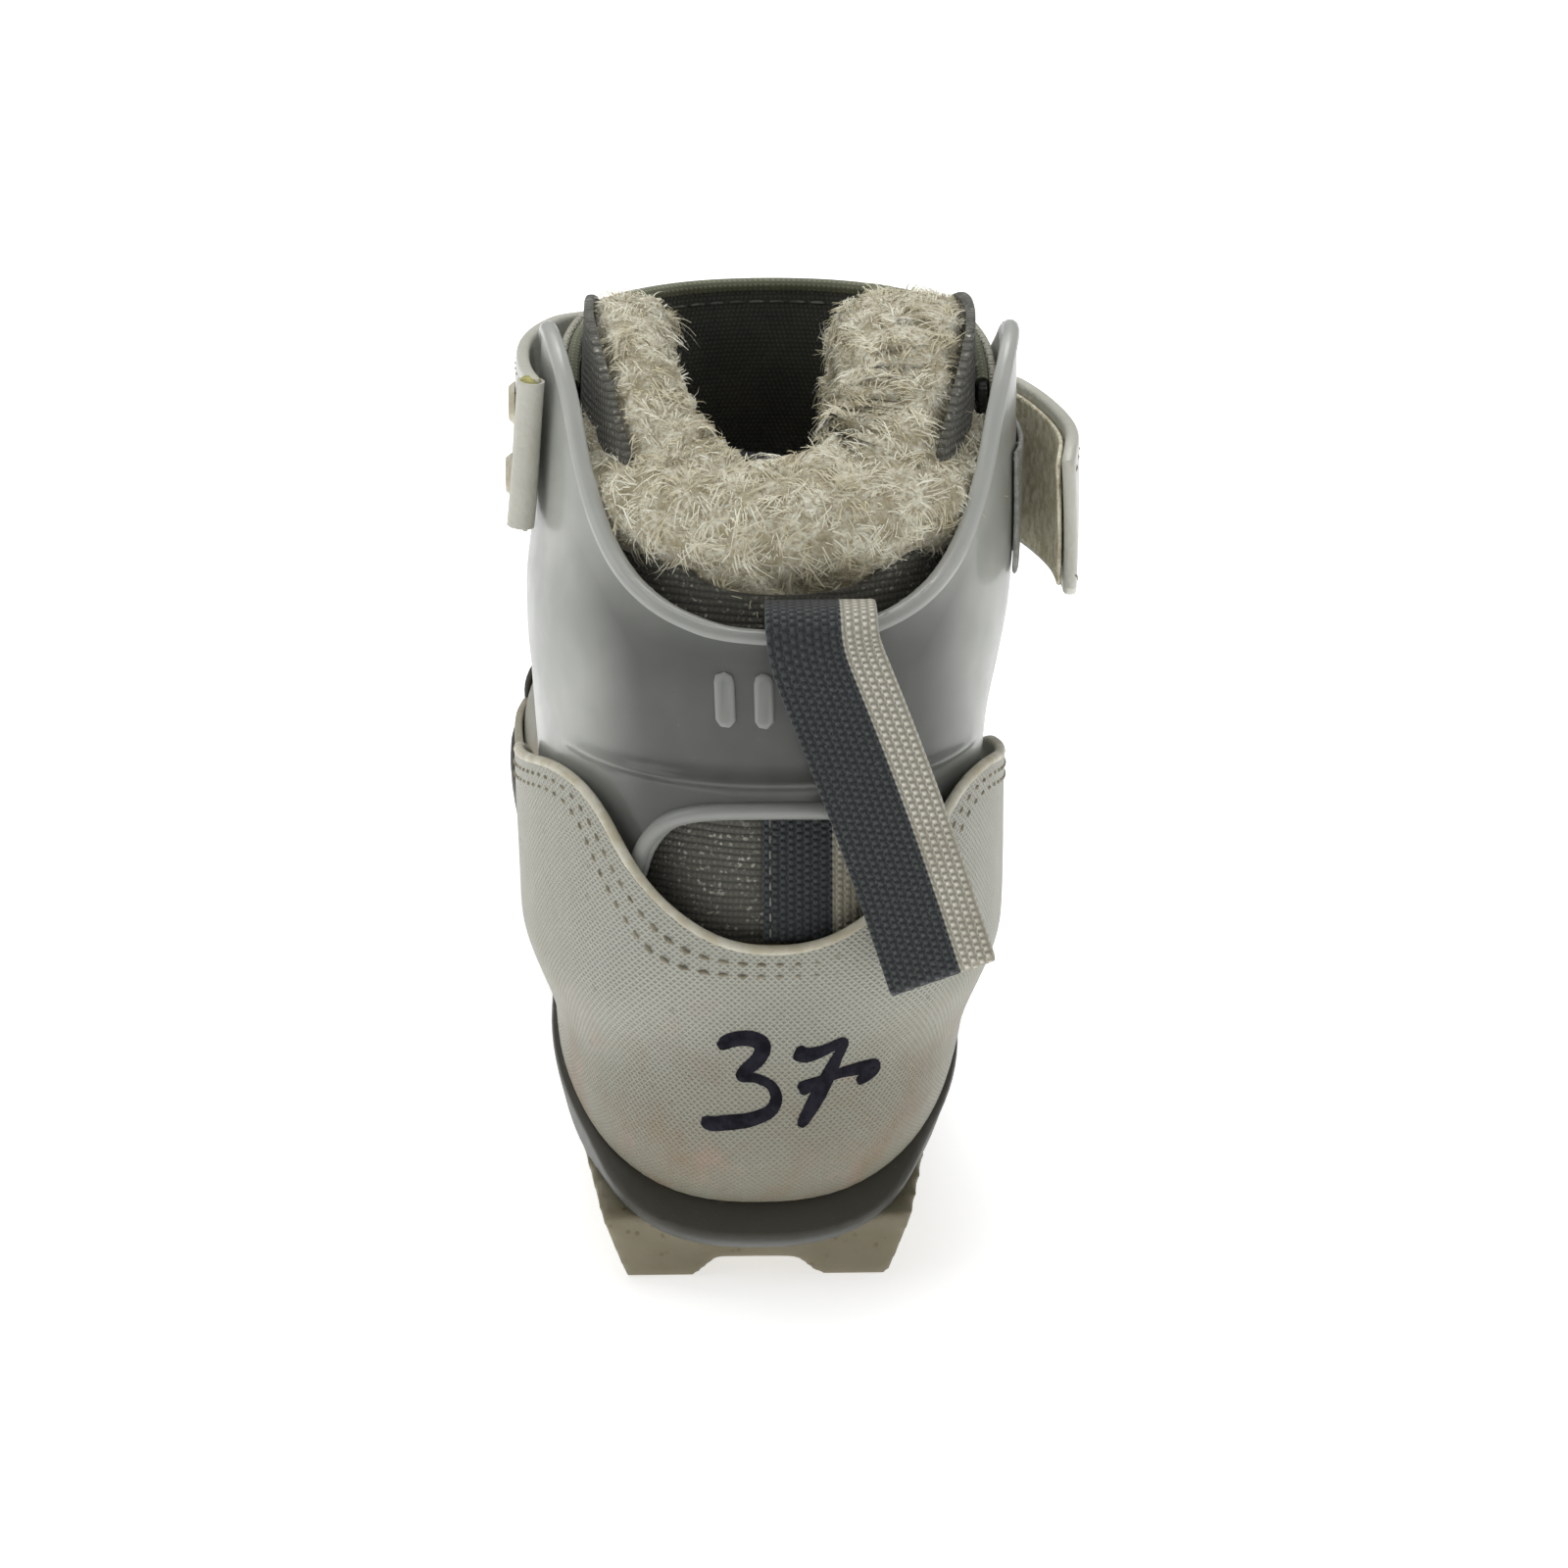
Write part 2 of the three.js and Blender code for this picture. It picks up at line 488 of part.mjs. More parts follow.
// How far out, sideways, the last grown by an amount reaches within a small round of a place in the
// side view.
function sideAt(y, z, side, grow = 0, around = 1) {
  const window = block(side < 0 ? -REACH : 0, side < 0 ? 0 : REACH, y - around, y + around,
      z - around, z + around);
  const box = lastSolid(grow).intersect(window).boundingBox();
  return side < 0 ? box.min[0] : box.max[0];
}

function pivotRivets() {
  for (const [name, side] of [["pivot_rivet_inner", -1], ["pivot_rivet_outer", 1]]) {
    const face = Math.abs(sideAt(pivotY, pivotZ, side, 0, RIVET_HEAD_R));
    const profile = [
      [0, -SHELL_WALL - 0.2], [RIVET_R, -SHELL_WALL - 0.2], [RIVET_R, EAR_OUT + CUFF_WALL + GAP],
      [RIVET_HEAD_R, EAR_OUT + CUFF_WALL + GAP], [RIVET_HEAD_R - 1.2, EAR_OUT + CUFF_WALL + GAP +
          RIVET_HEAD],
      [0, EAR_OUT + CUFF_WALL + GAP + RIVET_HEAD],
    ].map(([r, h]) => new THREE.Vector2(r, h + face));
    const rivet = new THREE.LatheGeometry(profile, 20).rotateZ((-side * Math.PI) / 2)
      .translate(0, pivotY, pivotZ);
    add(name, solidOf(rivet), STEEL);
  }
}

// A place on the roll's centre line: round the back of the ankle, from one arm of the collar to the
// other.
function rollPoint(deg) {
  const turn = THREE.MathUtils.degToRad(deg * 0.62);
  const away = Math.abs(deg) / 150;
  const z = gradeZ(121 + 12 * away ** 3);
  const halfWide = gradeX(33) - ROLL_INSET;
  const backY = gradeY(13.5) + ROLL_INSET;
  return new THREE.Vector3(
    gradeX(5) + halfWide * Math.sin(turn),
    backY + gradeY(28) * (1 - Math.cos(turn)),
    z,
  );
}

// The padded collar, its fleece lining, the fleece roll behind and the tall front shield lean with the
// cuff.
function shaft() {
  const collarTop = smooth(base([[-10, 116], [12, 117], [20, 124], [28, 134], [38, 146], [50, 152.5],
      [64, 153],
    [74, 148]]), 14);
  const armFront = 74;
  const region = sideCut([...collarTop, ...base([[armFront, 130], [armFront - 2, 96], [armFront, 40]]),
    [-REACH, gradeZ(40)], [-REACH, gradeZ(116)]]);
  const rollR = 7;
  const rollPath = through([-150, -120, -90, -60, -30, 0, 30, 60, 90, 120,
      150].map((deg) => rollPoint(deg)));
  const roll = (r) => {
    const ring = new THREE.Shape(arc(0, 0, r, 0, 330, 11).map(([a, b]) => new THREE.Vector2(a, b)));
    return solidOf(new THREE.ExtrudeGeometry(ring, { extrudePath: rollPath, steps: 22,
        bevelEnabled: false }));
  };
  const clearOfRoll = roll(rollR + 2 * GAP);
  const collar = layer(-COLLAR_WALL, 0).intersect(region).intersect(shaftRegion).subtract(clearOfRoll);
  add("collar", largest(collar), TEXTILE);
  const inside = layer(-COLLAR_WALL - GAP - LINING_WALL - 1, -COLLAR_WALL - GAP);
  add("collar_lining", largest(inside.intersect(region).intersect(shaftRegion).subtract(clearOfRoll)), FLEECE);
  add("fleece_roll", roll(rollR), FLEECE);

  const shieldTop = smooth(base([[52, 139.5], [56, 142], [64, 145], [80, 147.5], [104, 147.5]]), 12);
  const shieldRegion = sideCut([...shieldTop, ...base([[125, 140], [125, 60], [72, 60], [70, 111],
      [52, 114]])]);
  const shield = (inner) =>
    layer(inner, inner + COVER_WALL).intersect(shieldRegion).intersect(shaftRegion);
  add("shield_lining", shield(GAP), DARK);
  add("front_shield", shield(2 * GAP + COVER_WALL), WHITE);
}

// The biggest of a solid's separate pieces.
function largest(solid) {
  return solid.decompose().reduce((best, one) => (one.volume() > best.volume() ? one : best));
}

// The instep cover closes over the laces with a straight zip.
const zipHalf = 4;
const SLIDER_REST = GAP + COVER_WALL + 1.25 * GAP; // from the last to the underside of the slider
const zipTop = frontPoint(gradeY(130));
const zipEnd = frontPoint(gradeY(196));

function frontPoint(y) {
  let best = frontLine.getPoint(0);
  for (let i = 0; i <= 400; i++) {
    const p = frontLine.getPoint(i / 400);
    if (p.z < gradeZ(100) && Math.abs(p.y - y) < Math.abs(best.y - y)) best = p;
  }
  return best;
}
const zipSlope = Math.atan2(zipTop.z - zipEnd.z, zipEnd.y - zipTop.y);

function instepCover() {
  const region = sideCut(base([[84, 78], [112, 66], [150, 50], [190, 38], [206, 40], [210, 60], [150,
      120], [96, 120]]));
  const cover = layer(GAP, GAP + COVER_WALL).intersect(region).intersect(footRegion);
  const centre = zipTop.x;
  add("cover_inner", cover.intersect(block(-REACH, centre - zipHalf - GAP, 0, REACH, 0, REACH)), WHITE);
  add("cover_outer", cover.intersect(block(centre + zipHalf + GAP, REACH, 0, REACH, 0, REACH)), WHITE);
  const tape = cover.intersect(block(centre - zipHalf, centre + zipHalf, 0, REACH, 0, REACH));
  add("zip_tape", largest(tape), DARK);
}

// The slider and its pull lie on the tape; both are drawn flat and then laid on the instep's slope.
function zipSlider() {
  const onTape = (geometry) => geometry.rotateX(-zipSlope)
    .translate(zipTop.x, zipTop.y, zipTop.z)
    .translate(0, SLIDER_REST * Math.sin(zipSlope), SLIDER_REST * Math.cos(zipSlope));
  const bodyShape = new THREE.Shape([[-3.4, 0], [-2.6, 8], [2.6, 8], [3.4, 0]].map(([x,
      y]) => new THREE.Vector2(x, y)));
  const body = solidOf(onTape(new THREE.ExtrudeGeometry(bodyShape, { depth: 2.2, bevelEnabled: false })));
  const bridge = solidOf(onTape(new THREE.TorusGeometry(2, 0.5, 8,
      16).rotateY(Math.PI / 2).translate(0, 4, 2.4)));
  add("zip_slider", body.add(bridge), STEEL);
  const pullOuter = new THREE.Shape([[-2.4, 0], [-2.4, 20], [-1.4, 21.5], [1.4, 21.5], [2.4, 20],
      [2.4, 0]]
    .map(([x, y]) => new THREE.Vector2(x, y)));
  const hole = new THREE.Path([[-1.3, 0.9], [1.3, 0.9], [1.3, 5.4], [-1.3, 5.4]].map(([x,
      y]) => new THREE.Vector2(x, y)));
  pullOuter.holes.push(hole);
  const pull = new THREE.ExtrudeGeometry(pullOuter, { depth: 1, bevelEnabled: false });
  add("zip_pull", solidOf(onTape(pull.translate(0, 3.3, 2.5))), DARK);
}

// The strap: anchored outside the inner wing, across the front, with a free tail over the outer wing.
const strapCentre = { x: 2, z: gradeZ(127.5) };
const strapTilt = THREE.MathUtils.degToRad(8.5);
const tailStart = gradeY(70);
const tailEnd = gradeY(34);
const slab = (width, grow = 0) => solidOf(new THREE.BoxGeometry(REACH, REACH, width + grow)
  .rotateY(strapTilt).translate(strapCentre.x, 0, strapCentre.z));

function cuffStrap() {
  const anchorEnd = gradeY(41);
  const wrap = lastSolid(bandOuter).subtract(lastSolid(bandInner)).intersect(slab(STRAP_WIDTH));
  const rest = block(-REACH, 0, anchorEnd, REACH, 0, REACH).add(block(-1, REACH, tailStart + GAP,
      REACH, 0, REACH));
  let band = wrap.intersect(rest);
  const anchorY = anchorEnd + 6;
  for (const [name, rise] of [["anchor_rivet_upper", 6], ["anchor_rivet_lower", -6]]) {
    const z = strapCentre.z + 38 * Math.tan(strapTilt) + rise;
    const face = Math.abs(sideAt(anchorY, z, -1));
    const low = strapInner() - GAP;
    const high = strapInner() + STRAP_WALL;
    const profile = [[0, low], [1.5, low], [1.5, high + GAP], [3.6, high + GAP], [2.8, high + 1.4],
        [0, high + 1.4]]
      .map(([r, h]) => new THREE.Vector2(r, h + face));
    add(name, solidOf(new THREE.LatheGeometry(profile, 16).rotateZ(Math.PI / 2).translate(0, anchorY,
        z)), STEEL);
    band = band.subtract(solidOf(new THREE.CylinderGeometry(1.5 + GAP, 1.5 + GAP, 60, 16)
      .rotateZ(Math.PI / 2).translate(-face - 20, anchorY, z)));
  }
  add("strap", largest(band), WHITE);

  const patchInner = () => WING_OUT + CUFF_WALL + GAP;
  const patchRegion = block(0, REACH, gradeY(40), gradeY(60), 0, REACH);
  const patch = lastSolid(() => patchInner() + 0.8).subtract(lastSolid(patchInner));
  add("hook_patch", patch.intersect(slab(STRAP_WIDTH - 6)).intersect(patchRegion), DARK);
}

function strapTail() {
  const outerSide = block(0, REACH, tailEnd, tailStart, 0, REACH);
  const lift = strapInner() + 0.8;
  const cut = (inner, outer, width) =>
    lastSolid(() => outer).subtract(lastSolid(() => inner)).intersect(slab(width)).intersect(outerSide);
  const outside = lift + 0.8 + GAP + STRAP_WALL;
  const hingeX = sideAt(tailStart, strapCentre.z, 1) + outside;
  const open = THREE.MathUtils.degToRad(9);
  const tail = [["strap_tail", cut(lift + 0.8 + GAP, lift + 0.8 + GAP + STRAP_WALL, STRAP_WIDTH), WHITE],
    ["loop_patch", cut(lift, lift + 0.8, STRAP_WIDTH - 3), FLEECE]];
  for (const [name, solid, look] of tail) {
    const mesh = add(name, solid, look);
    mesh.geometry.translate(-hingeX, -tailStart, 0).rotateZ(open).translate(hingeX, tailStart, 0);
  }
}

// Webbing up the back of the shaft, and the loop of the same tape that hangs over the cuff's rim.
function heelTape() {
  const tapeX = gradeX(8);
  const region = block(tapeX - TAPE_WIDTH / 2, tapeX + TAPE_WIDTH / 2, -REACH, gradeY(30),
      splitZ + 2 * GAP, gradeZ(109));
  add("heel_tape", layer(GAP / 2, GAP / 2 + HEEL_TAPE_WALL).intersect(region), WEBBING);
  const topY = gradeY(3.6);
  const topZ = gradeZ(117);
  const half = TAPE_WIDTH / 2;
  const swing = THREE.MathUtils.degToRad(20);
  const profile = [
    [7.6, -1.6], [6.6, 0.4], [4, 1], [0, 1.2], [-3.4, 0], [-5.9, -4], [-9, -30], [-11.5,
        -LOOP_LENGTH], [-9.5, -LOOP_LENGTH - 1],
    [-7.6, -LOOP_LENGTH], [-6.2, -30], [-3.6, -4], [-1.6, -1.2], [2, -1], [5.4, -1.4], [6, -2.4],
  ];
  const loop = sideCut(profile, -half, half);
  const mesh = add("pull_loop", loop, WEBBING);
  mesh.geometry.rotateY(-swing).translate(gradeX(10), topY, topZ);
}

soleUnit();
const bedTop = footBed();
upperShell();
liningAndTongue(bedTop);
heelCounter();
pivotRivets();
ankleCuff();
shaft();
instepCover();
zipSlider();
cuffStrap();
strapTail();
heelTape();

// The origin is the middle of the boot's footprint box, on the ground.
const box = new THREE.Box3().setFromObject(boot);
boot.position.set(-(box.min.x + box.max.x) / 2, -(box.min.y + box.max.y) / 2, -box.min.z);

export default boot;
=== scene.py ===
"""The looks of the cross-country ski boot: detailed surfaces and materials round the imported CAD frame.

Shapes are worked out in the boot's own millimetres (heel at y 0, ground at z 0) and placed in the row frame.
Every soft layer follows one surface, the last, a fan of closed rings from the top of the shaft to the toe.
"""
import json
import math

import bmesh
import bpy
import numpy as np
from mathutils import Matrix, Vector
from mathutils.bvhtree import BVHTree
from mathutils.kdtree import KDTree


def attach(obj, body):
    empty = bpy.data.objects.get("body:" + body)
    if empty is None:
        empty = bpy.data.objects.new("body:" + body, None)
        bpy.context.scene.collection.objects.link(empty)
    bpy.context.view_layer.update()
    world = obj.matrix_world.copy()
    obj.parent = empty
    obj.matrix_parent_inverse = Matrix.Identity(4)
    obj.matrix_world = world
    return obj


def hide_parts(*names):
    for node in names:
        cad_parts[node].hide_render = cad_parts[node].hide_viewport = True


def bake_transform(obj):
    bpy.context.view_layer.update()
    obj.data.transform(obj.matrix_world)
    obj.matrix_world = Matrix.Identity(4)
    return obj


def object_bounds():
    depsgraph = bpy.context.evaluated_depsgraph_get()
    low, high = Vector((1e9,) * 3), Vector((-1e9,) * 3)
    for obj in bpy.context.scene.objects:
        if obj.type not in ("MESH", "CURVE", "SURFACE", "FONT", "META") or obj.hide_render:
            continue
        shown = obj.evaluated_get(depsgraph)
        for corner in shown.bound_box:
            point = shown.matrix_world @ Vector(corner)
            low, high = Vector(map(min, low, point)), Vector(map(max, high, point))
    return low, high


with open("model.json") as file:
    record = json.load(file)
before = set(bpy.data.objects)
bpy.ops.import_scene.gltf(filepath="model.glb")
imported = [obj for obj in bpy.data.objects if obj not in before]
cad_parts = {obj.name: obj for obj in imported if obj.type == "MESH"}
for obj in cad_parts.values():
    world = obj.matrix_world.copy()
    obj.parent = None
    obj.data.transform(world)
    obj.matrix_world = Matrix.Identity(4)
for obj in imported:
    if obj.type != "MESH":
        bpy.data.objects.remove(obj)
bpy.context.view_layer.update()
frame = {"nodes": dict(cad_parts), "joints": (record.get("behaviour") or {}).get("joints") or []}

# ---- sizes, in millimetres ----
MM = 0.001
PIVOT = np.array([0.0, 50.0, 64.0])
THROAT_DEG = 28
FLEX_DEG = 12
GAP = 0.4
SHELL_WALL = 1.8
COVER_WALL = 1.4
CUFF_WALL = 2.4
COUNTER_WALL = 1.6
BAND_WALL = 2.8
UNDERFOOT_WALL = 2.6  # added to the band under the foot
HEEL_CORNER_WALL = 3.2  # added again at the heel's bottom corner
BOARD_CLEARANCE = 1.2
BOARD_WALL = 2
INSOLE_WALL = 3.6
TOE_CAP_WALL = 1.4
TOUCH_TAPE_WALL = 0.8
WEBBING_WALL = 1.25
STRAP_WALL = 2.2
STRAP_WIDTH = 26
STRAP_TILT = math.radians(8.5)
STRAP_CENTRE = np.array([2.0, 0.0, 127.5])
ANCHOR_END = 41
TAIL_START = 70
TAIL_END = 34
TAIL_SWING = math.radians(9)
HINGE_X = 47.32
ZIP_X = 1.1
ZIP_HALF = 4
TOOTH_PITCH = 1.25
EYELETS = (122, 138, 154, 170)
EYELET_X = 15.7
EYELET_R = 2.0
SIDES = (("inner", -1), ("outer", 1))
HEEL_TAPE_X = 8.7
LOOP_LENGTH = 60
TAPE_WIDTH = 17.5
HEEL_TAPE_WALL = 0.9
EAR_R = 13
RIVET_HEAD = 0.8
EAR_OUT = 1.5 * GAP
BEHIND_OUT = GAP / 2 + HEEL_TAPE_WALL + 2 * GAP
WING_OUT = 3 * GAP + 2 * COVER_WALL
EAR_SPACE = EAR_OUT + CUFF_WALL + RIVET_HEAD + 4 * GAP
STRAP_IN = WING_OUT + CUFF_WALL + 2 * GAP + 1
BOARD_TOP = 2 * GAP + BOARD_CLEARANCE + BOARD_WALL
BED_TOP = BOARD_TOP + INSOLE_WALL + 2 * GAP
FAR = 400.0

# ---- light, in watts or strength, and the camera ----
WORLD_LIGHT = 0.24
SUN_LIGHT = 1.1
LIGHTS = [
    ("left_light", (-1.3, -0.5, 0.9), 0.9, 3.8),
    ("right_light", (1.3, -0.3, 0.8), 0.9, 2.5),
    ("top_light", (0.0, 0.3, 1.5), 0.8, 7.0),
]
LIGHT_AIM = (0, 0, 0.07)
FLOOR_HALF = 6.0
FLOOR_GLOW = 0.6
CAMERA_RISE = 20.0
CAMERA_TURN = -1.5
CAMERA_AIM = (4.7, 20.0, 82.9)
CAMERA_DISTANCE = 0.75
CAMERA_LENS = 107
CAMERA_SENSOR = 36

flex_joint = next(j for j in frame["joints"] if j["name"] == "cuff_flex")
SHIFT = np.array(flex_joint["pos_m"]) - PIVOT * MM

# ---- the last ----
# Each ring: back y, z; front y, z; half-width; widest share; squareness below, above; sideways back, front.
RINGS = np.array([
    (20, 158, 92, 158, 32, 0.5, 2.2, 2.2, 6, 4),
    (17.5, 140, 93, 140, 32.5, 0.5, 2.2, 2.2, 5.5, 3.5),
    (13.5, 122, 96, 122, 33, 0.5, 2.2, 2.2, 5, 3),
    (9.5, 104, 102, 108, 33.5, 0.48, 2.2, 2.1, 4, 1),
    (6, 86, 109, 98.5, 33.8, 0.46, 2.2, 2, 3.4, -1),
    (3, 66, 118, 90, 33.8, 0.43, 2.2, 2, 2.8, -1),
    (0.5, 44, 128, 84, 33.6, 0.4, 2.2, 2, 2, 0.8),
    (2, 24, 137, 80.3, 33, 0.38, 2.4, 2, 1, 2),
    (16, 12.5, 146, 76.6, 32, 0.36, 2.6, 2, 0, 2),
    (46, 12, 156, 72.5, 32, 0.34, 2.8, 1.9, 0, 2),
    (80, 12, 168, 67.6, 34, 0.33, 3, 1.9, 0.5, 1.5),
    (115, 12, 183, 61.5, 37.5, 0.32, 3, 1.9, 1.5, 1.5),
    (150, 12, 200, 54.5, 41.5, 0.33, 3, 2, 2.5, 1.2),
    (182, 12.5, 217, 49, 44, 0.36, 3, 2, 2.5, 0),
    (210, 13.3, 231, 45.5, 42, 0.4, 3, 2.2, 0.5, -2),
    (234, 14.8, 244, 41.5, 34, 0.44, 2.8, 2.3, -2.5, -4),
    (251, 17.5, 254.5, 37, 22, 0.48, 2.4, 2.3, -5.5, -6),
    (260, 23, 260.5, 32, 8, 0.5, 2, 2, -7, -7),
])
LAST_RING = len(RINGS) - 1
TOE_END = LAST_RING - 1
NOSE_RINGS = (0.25, 0.5, 0.75, 1.0)


def catmull(table, t):
    """Points of a Catmull-Rom curve through the table's rows, at t counted in rows."""
    table = np.asarray(table, float)
    t = np.clip(t, 0, len(table) - 1)
    i = np.minimum(t.astype(int), len(table) - 2)
    f = (t - i)[:, None]
    before = np.where((i > 0)[:, None], table[np.maximum(i - 1, 0)], 2 * table[i] - table[i + 1])
    last = len(table) - 1
    after = np.where(
        (i + 2 <= last)[:, None], table[np.minimum(i + 2, last)], 2 * table[i + 1] - table[i]
    )
    a, b = table[i], table[i + 1]
    slope_a, slope_b = (b - before) / 2, (after - a) / 2
    return (
        (2 * f**3 - 3 * f**2 + 1) * a
        + (f**3 - 2 * f**2 + f) * slope_a
        + (3 * f**2 - 2 * f**3) * b
        + (f**3 - f**2) * slope_b
    )


def curve(points, steps=40):
    """A smooth line through the points."""
    return catmull(points, np.linspace(0, len(points) - 1, steps))


def step(x, low, high):
    t = np.clip((x - low) / (high - low), 0, 1)
    return t * t * (3 - 2 * t)


def with_nose(points, normals, along):
    """Closes the toe: rings that shrink from the last one to its middle and turn to face forward."""
    ring, out = points[-1], normals[-1]
    middle = ring.mean(axis=0)
    ahead = np.cross(ring[len(ring) // 4] - middle, ring[len(ring) // 2] - middle)
    ahead /= np.linalg.norm(ahead)
    if ahead[1] < 0:
        ahead = -ahead
    for share in NOSE_RINGS:
        turned = out * math.cos(share * math.pi / 2) + ahead * math.sin(share * math.pi / 2)
        turned /= np.linalg.norm(turned, axis=1, keepdims=True)
        points = np.concatenate([points, [middle + (ring - middle) * (1 - share)]])
        normals = np.concatenate([normals, [turned]])
        along = np.concatenate([along, [along[-1]]])
    return points, normals, along


class Grid:
    """A stretch of the last as rows of points, each with its normal and its place along the surface."""

    def __init__(self, first, last, rows, around):
        t = np.linspace(first, last, rows)
        ring = catmull(RINGS, t)
        half_steps = around // 2
        points = np.zeros((rows, 2 * half_steps + 1, 3))
        along = np.zeros((rows, 2 * half_steps + 1))
        turn = np.linspace(0, np.pi, 361)
        lower = turn < np.pi / 2
        for i, r in enumerate(ring):
            power = 2 / np.where(lower, r[6], r[7])
            side = np.abs(np.sin(turn)) ** power
            rise = np.abs(np.cos(turn)) ** power
            share = np.where(lower, r[5] * (1 - rise), r[5] + (1 - r[5]) * rise)
            height = math.hypot(r[2] - r[0], r[3] - r[1])
            reach = np.append(0, np.cumsum(np.hypot(np.diff(side) * r[4], np.diff(share) * height)))
            want = np.linspace(0, reach[-1], half_steps + 1)
            side = np.interp(want, reach, side)
            share = np.interp(want, reach, share)
            back = np.array([r[8], r[0], r[1]])
            front = np.array([r[9], r[2], r[3]])
            line = back + (front - back) * share[:, None]
            for sign, where in ((1, slice(half_steps, None)), (-1, slice(half_steps, None, -1))):
                points[i, where] = line
                points[i, where, 0] += sign * side * r[4]
                along[i, where] = sign * want
        across = np.gradient(points, axis=1)
        across[:, 0] = across[:, -1] = points[:, 1] - points[:, -2]
        up = np.gradient(points, axis=0)
        normals = np.cross(up, across)
        normals /= np.maximum(np.linalg.norm(normals, axis=2, keepdims=True), 1e-9)
        middle = points.mean(axis=1, keepdims=True)
        if ((points - middle) * normals).sum() < 0:
            normals = -normals
        if last == LAST_RING:
            points, normals, along = with_nose(points, normals, along)
        climb = np.zeros_like(along)
        climb[1:] = np.cumsum(np.linalg.norm(np.diff(points, axis=0), axis=2), axis=0)
        self.data = np.concatenate([points, normals, along[..., None], climb[..., None]], axis=2)
        self.data = self.data.reshape(-1, 8)
        width = 2 * half_steps + 1
        rows = len(points)
        corner = (np.arange(rows - 1)[:, None] * width + np.arange(width - 1)).reshape(-1)
        self.faces = np.stack([corner, corner + 1, corner + width + 1, corner + width], axis=1).tolist()


class Patch:
    """Part of the surface: rows of data (point, normal, place) and faces that index them."""

    def __init__(self, data, faces):
        self.data = data
        self.faces = faces

    def cut(self, value, both=False):
        """Keeps the side where value is positive, or with both keeps all and only adds the zero line.
        Returns the edges of that line."""
        inside = value > 0
        extra, made, faces, line = [], {}, [], []
        count = len(self.data)

        def crossing(a, b):
            key = (a, b) if a < b else (b, a)
            if key not in made:
                share = value[a] / (value[a] - value[b])
                made[key] = count + len(extra)
                extra.append(self.data[a] + (self.data[b] - self.data[a]) * share)
            return made[key]

        for face in self.faces:
            flags = inside[face]
            if flags.all() or (both and not flags.any()):
                faces.append(face)
                continue
            if not flags.any():
                continue
            parts = {True: [], False: []}
            crossed = []
            for a, b in zip(face, face[1:] + face[:1]):
                parts[bool(inside[a])].append(a)
                if inside[a] != inside[b]:
                    c = crossing(a, b)
                    parts[True].append(c)
                    parts[False].append(c)
                    crossed.append(c)
            if len(parts[True]) > 2:
                faces.append(parts[True])
            if both and len(parts[False]) > 2:
                faces.append(parts[False])
            if len(crossed) == 2:
                line.append(tuple(crossed))
        if extra:
            self.data = np.vstack([self.data, np.array(extra)])
        self.faces = faces
        return line

    def lines(self, edges):
        """The edges joined into polylines of data rows."""
        near = {}
        for a, b in edges:
            near.setdefault(a, []).append(b)
            near.setdefault(b, []).append(a)
        left = set(near)
        out = []
        ends = [p for p in near if len(near[p]) == 1]
        while left:
            start = next((p for p in ends if p in left), None)
            start = next(iter(left)) if start is None else start
            path = [start]
            left.discard(start)
            while True:
                following = [q for q in near[path[-1]] if q in left]
                if not following:
                    break
                path.append(following[0])
                left.discard(following[0])
            if len(path) > 2 and path[0] in near[path[-1]]:
                path.append(path[0])
            if len(path) > 2:
                out.append(self.data[path])
        return out

    def rim_distance(self, reach=8):
        """How far each point is from the patch's own edge, up to reach."""
        use = {}
        key = np.round(self.data[:, :3], 3)
        index = {}
        same = np.array([index.setdefault(tuple(k), n) for n, k in enumerate(key)])
        for face in self.faces:
            for a, b in zip(face, face[1:] + face[:1]):
                e = tuple(sorted((int(same[a]), int(same[b]))))
                use[e] = use.get(e, 0) + 1
        rim = []
        for (a, b), n in use.items():
            if n == 1 and a != b:
                p, q = self.data[a, :3], self.data[b, :3]
                many = max(1, int(np.linalg.norm(q - p) / 0.4))
                rim.extend(p + (q - p) * k / many for k in range(many + 1))
        tree = KDTree(max(len(rim), 1))
        for n, p in enumerate(rim):
            tree.insert(p, n)
        tree.balance()
        used = sorted({i for face in self.faces for i in face})
        out = np.full(len(self.data), float(reach))
        for i in used:
            found = tree.find(self.data[i, :3])
            if found[2] is not None:
                out[i] = min(found[2], reach)
        return out


def outline(points):
    """A side-view outline, drawn in y and z: a function that gives each point's distance inside it."""
    polygon = np.asarray(points, float)

    def value(p):
        yz = p[:, 1:3]
        best = np.full(len(yz), 1e9)
        inside = np.zeros(len(yz), bool)
        for a, b in zip(polygon, np.roll(polygon, -1, axis=0)):
            d = b - a
            length = max(d @ d, 1e-12)
            t = np.clip(((yz - a) @ d) / length, 0, 1)
            best = np.minimum(best, np.linalg.norm(yz - a - t[:, None] * d, axis=1))
            if a[1] != b[1]:
                spans = (a[1] > yz[:, 1]) != (b[1] > yz[:, 1])
                inside ^= spans & (yz[:, 0] < (b[0] - a[0]) * (yz[:, 1] - a[1]) / (b[1] - a[1]) + a[0])
        return np.where(inside, best, -best)

    return value


def above(line):
    """Above a side-view line that runs from low y to high y."""
    return outline([*line, (FAR, line[-1][1]), (FAR, FAR), (-FAR, FAR), (-FAR, line[0][1])])


def below(line):
    inverse = above(line)

    def value(p):
        return -inverse(p)

    return value


def from_pivot(p):
    return np.hypot(p[:, 1] - PIVOT[1], p[:, 2] - PIVOT[2])


def on_ray(deg, r):
    turn = math.radians(deg)
    return PIVOT[1] + r * math.cos(turn), PIVOT[2] + r * math.sin(turn)


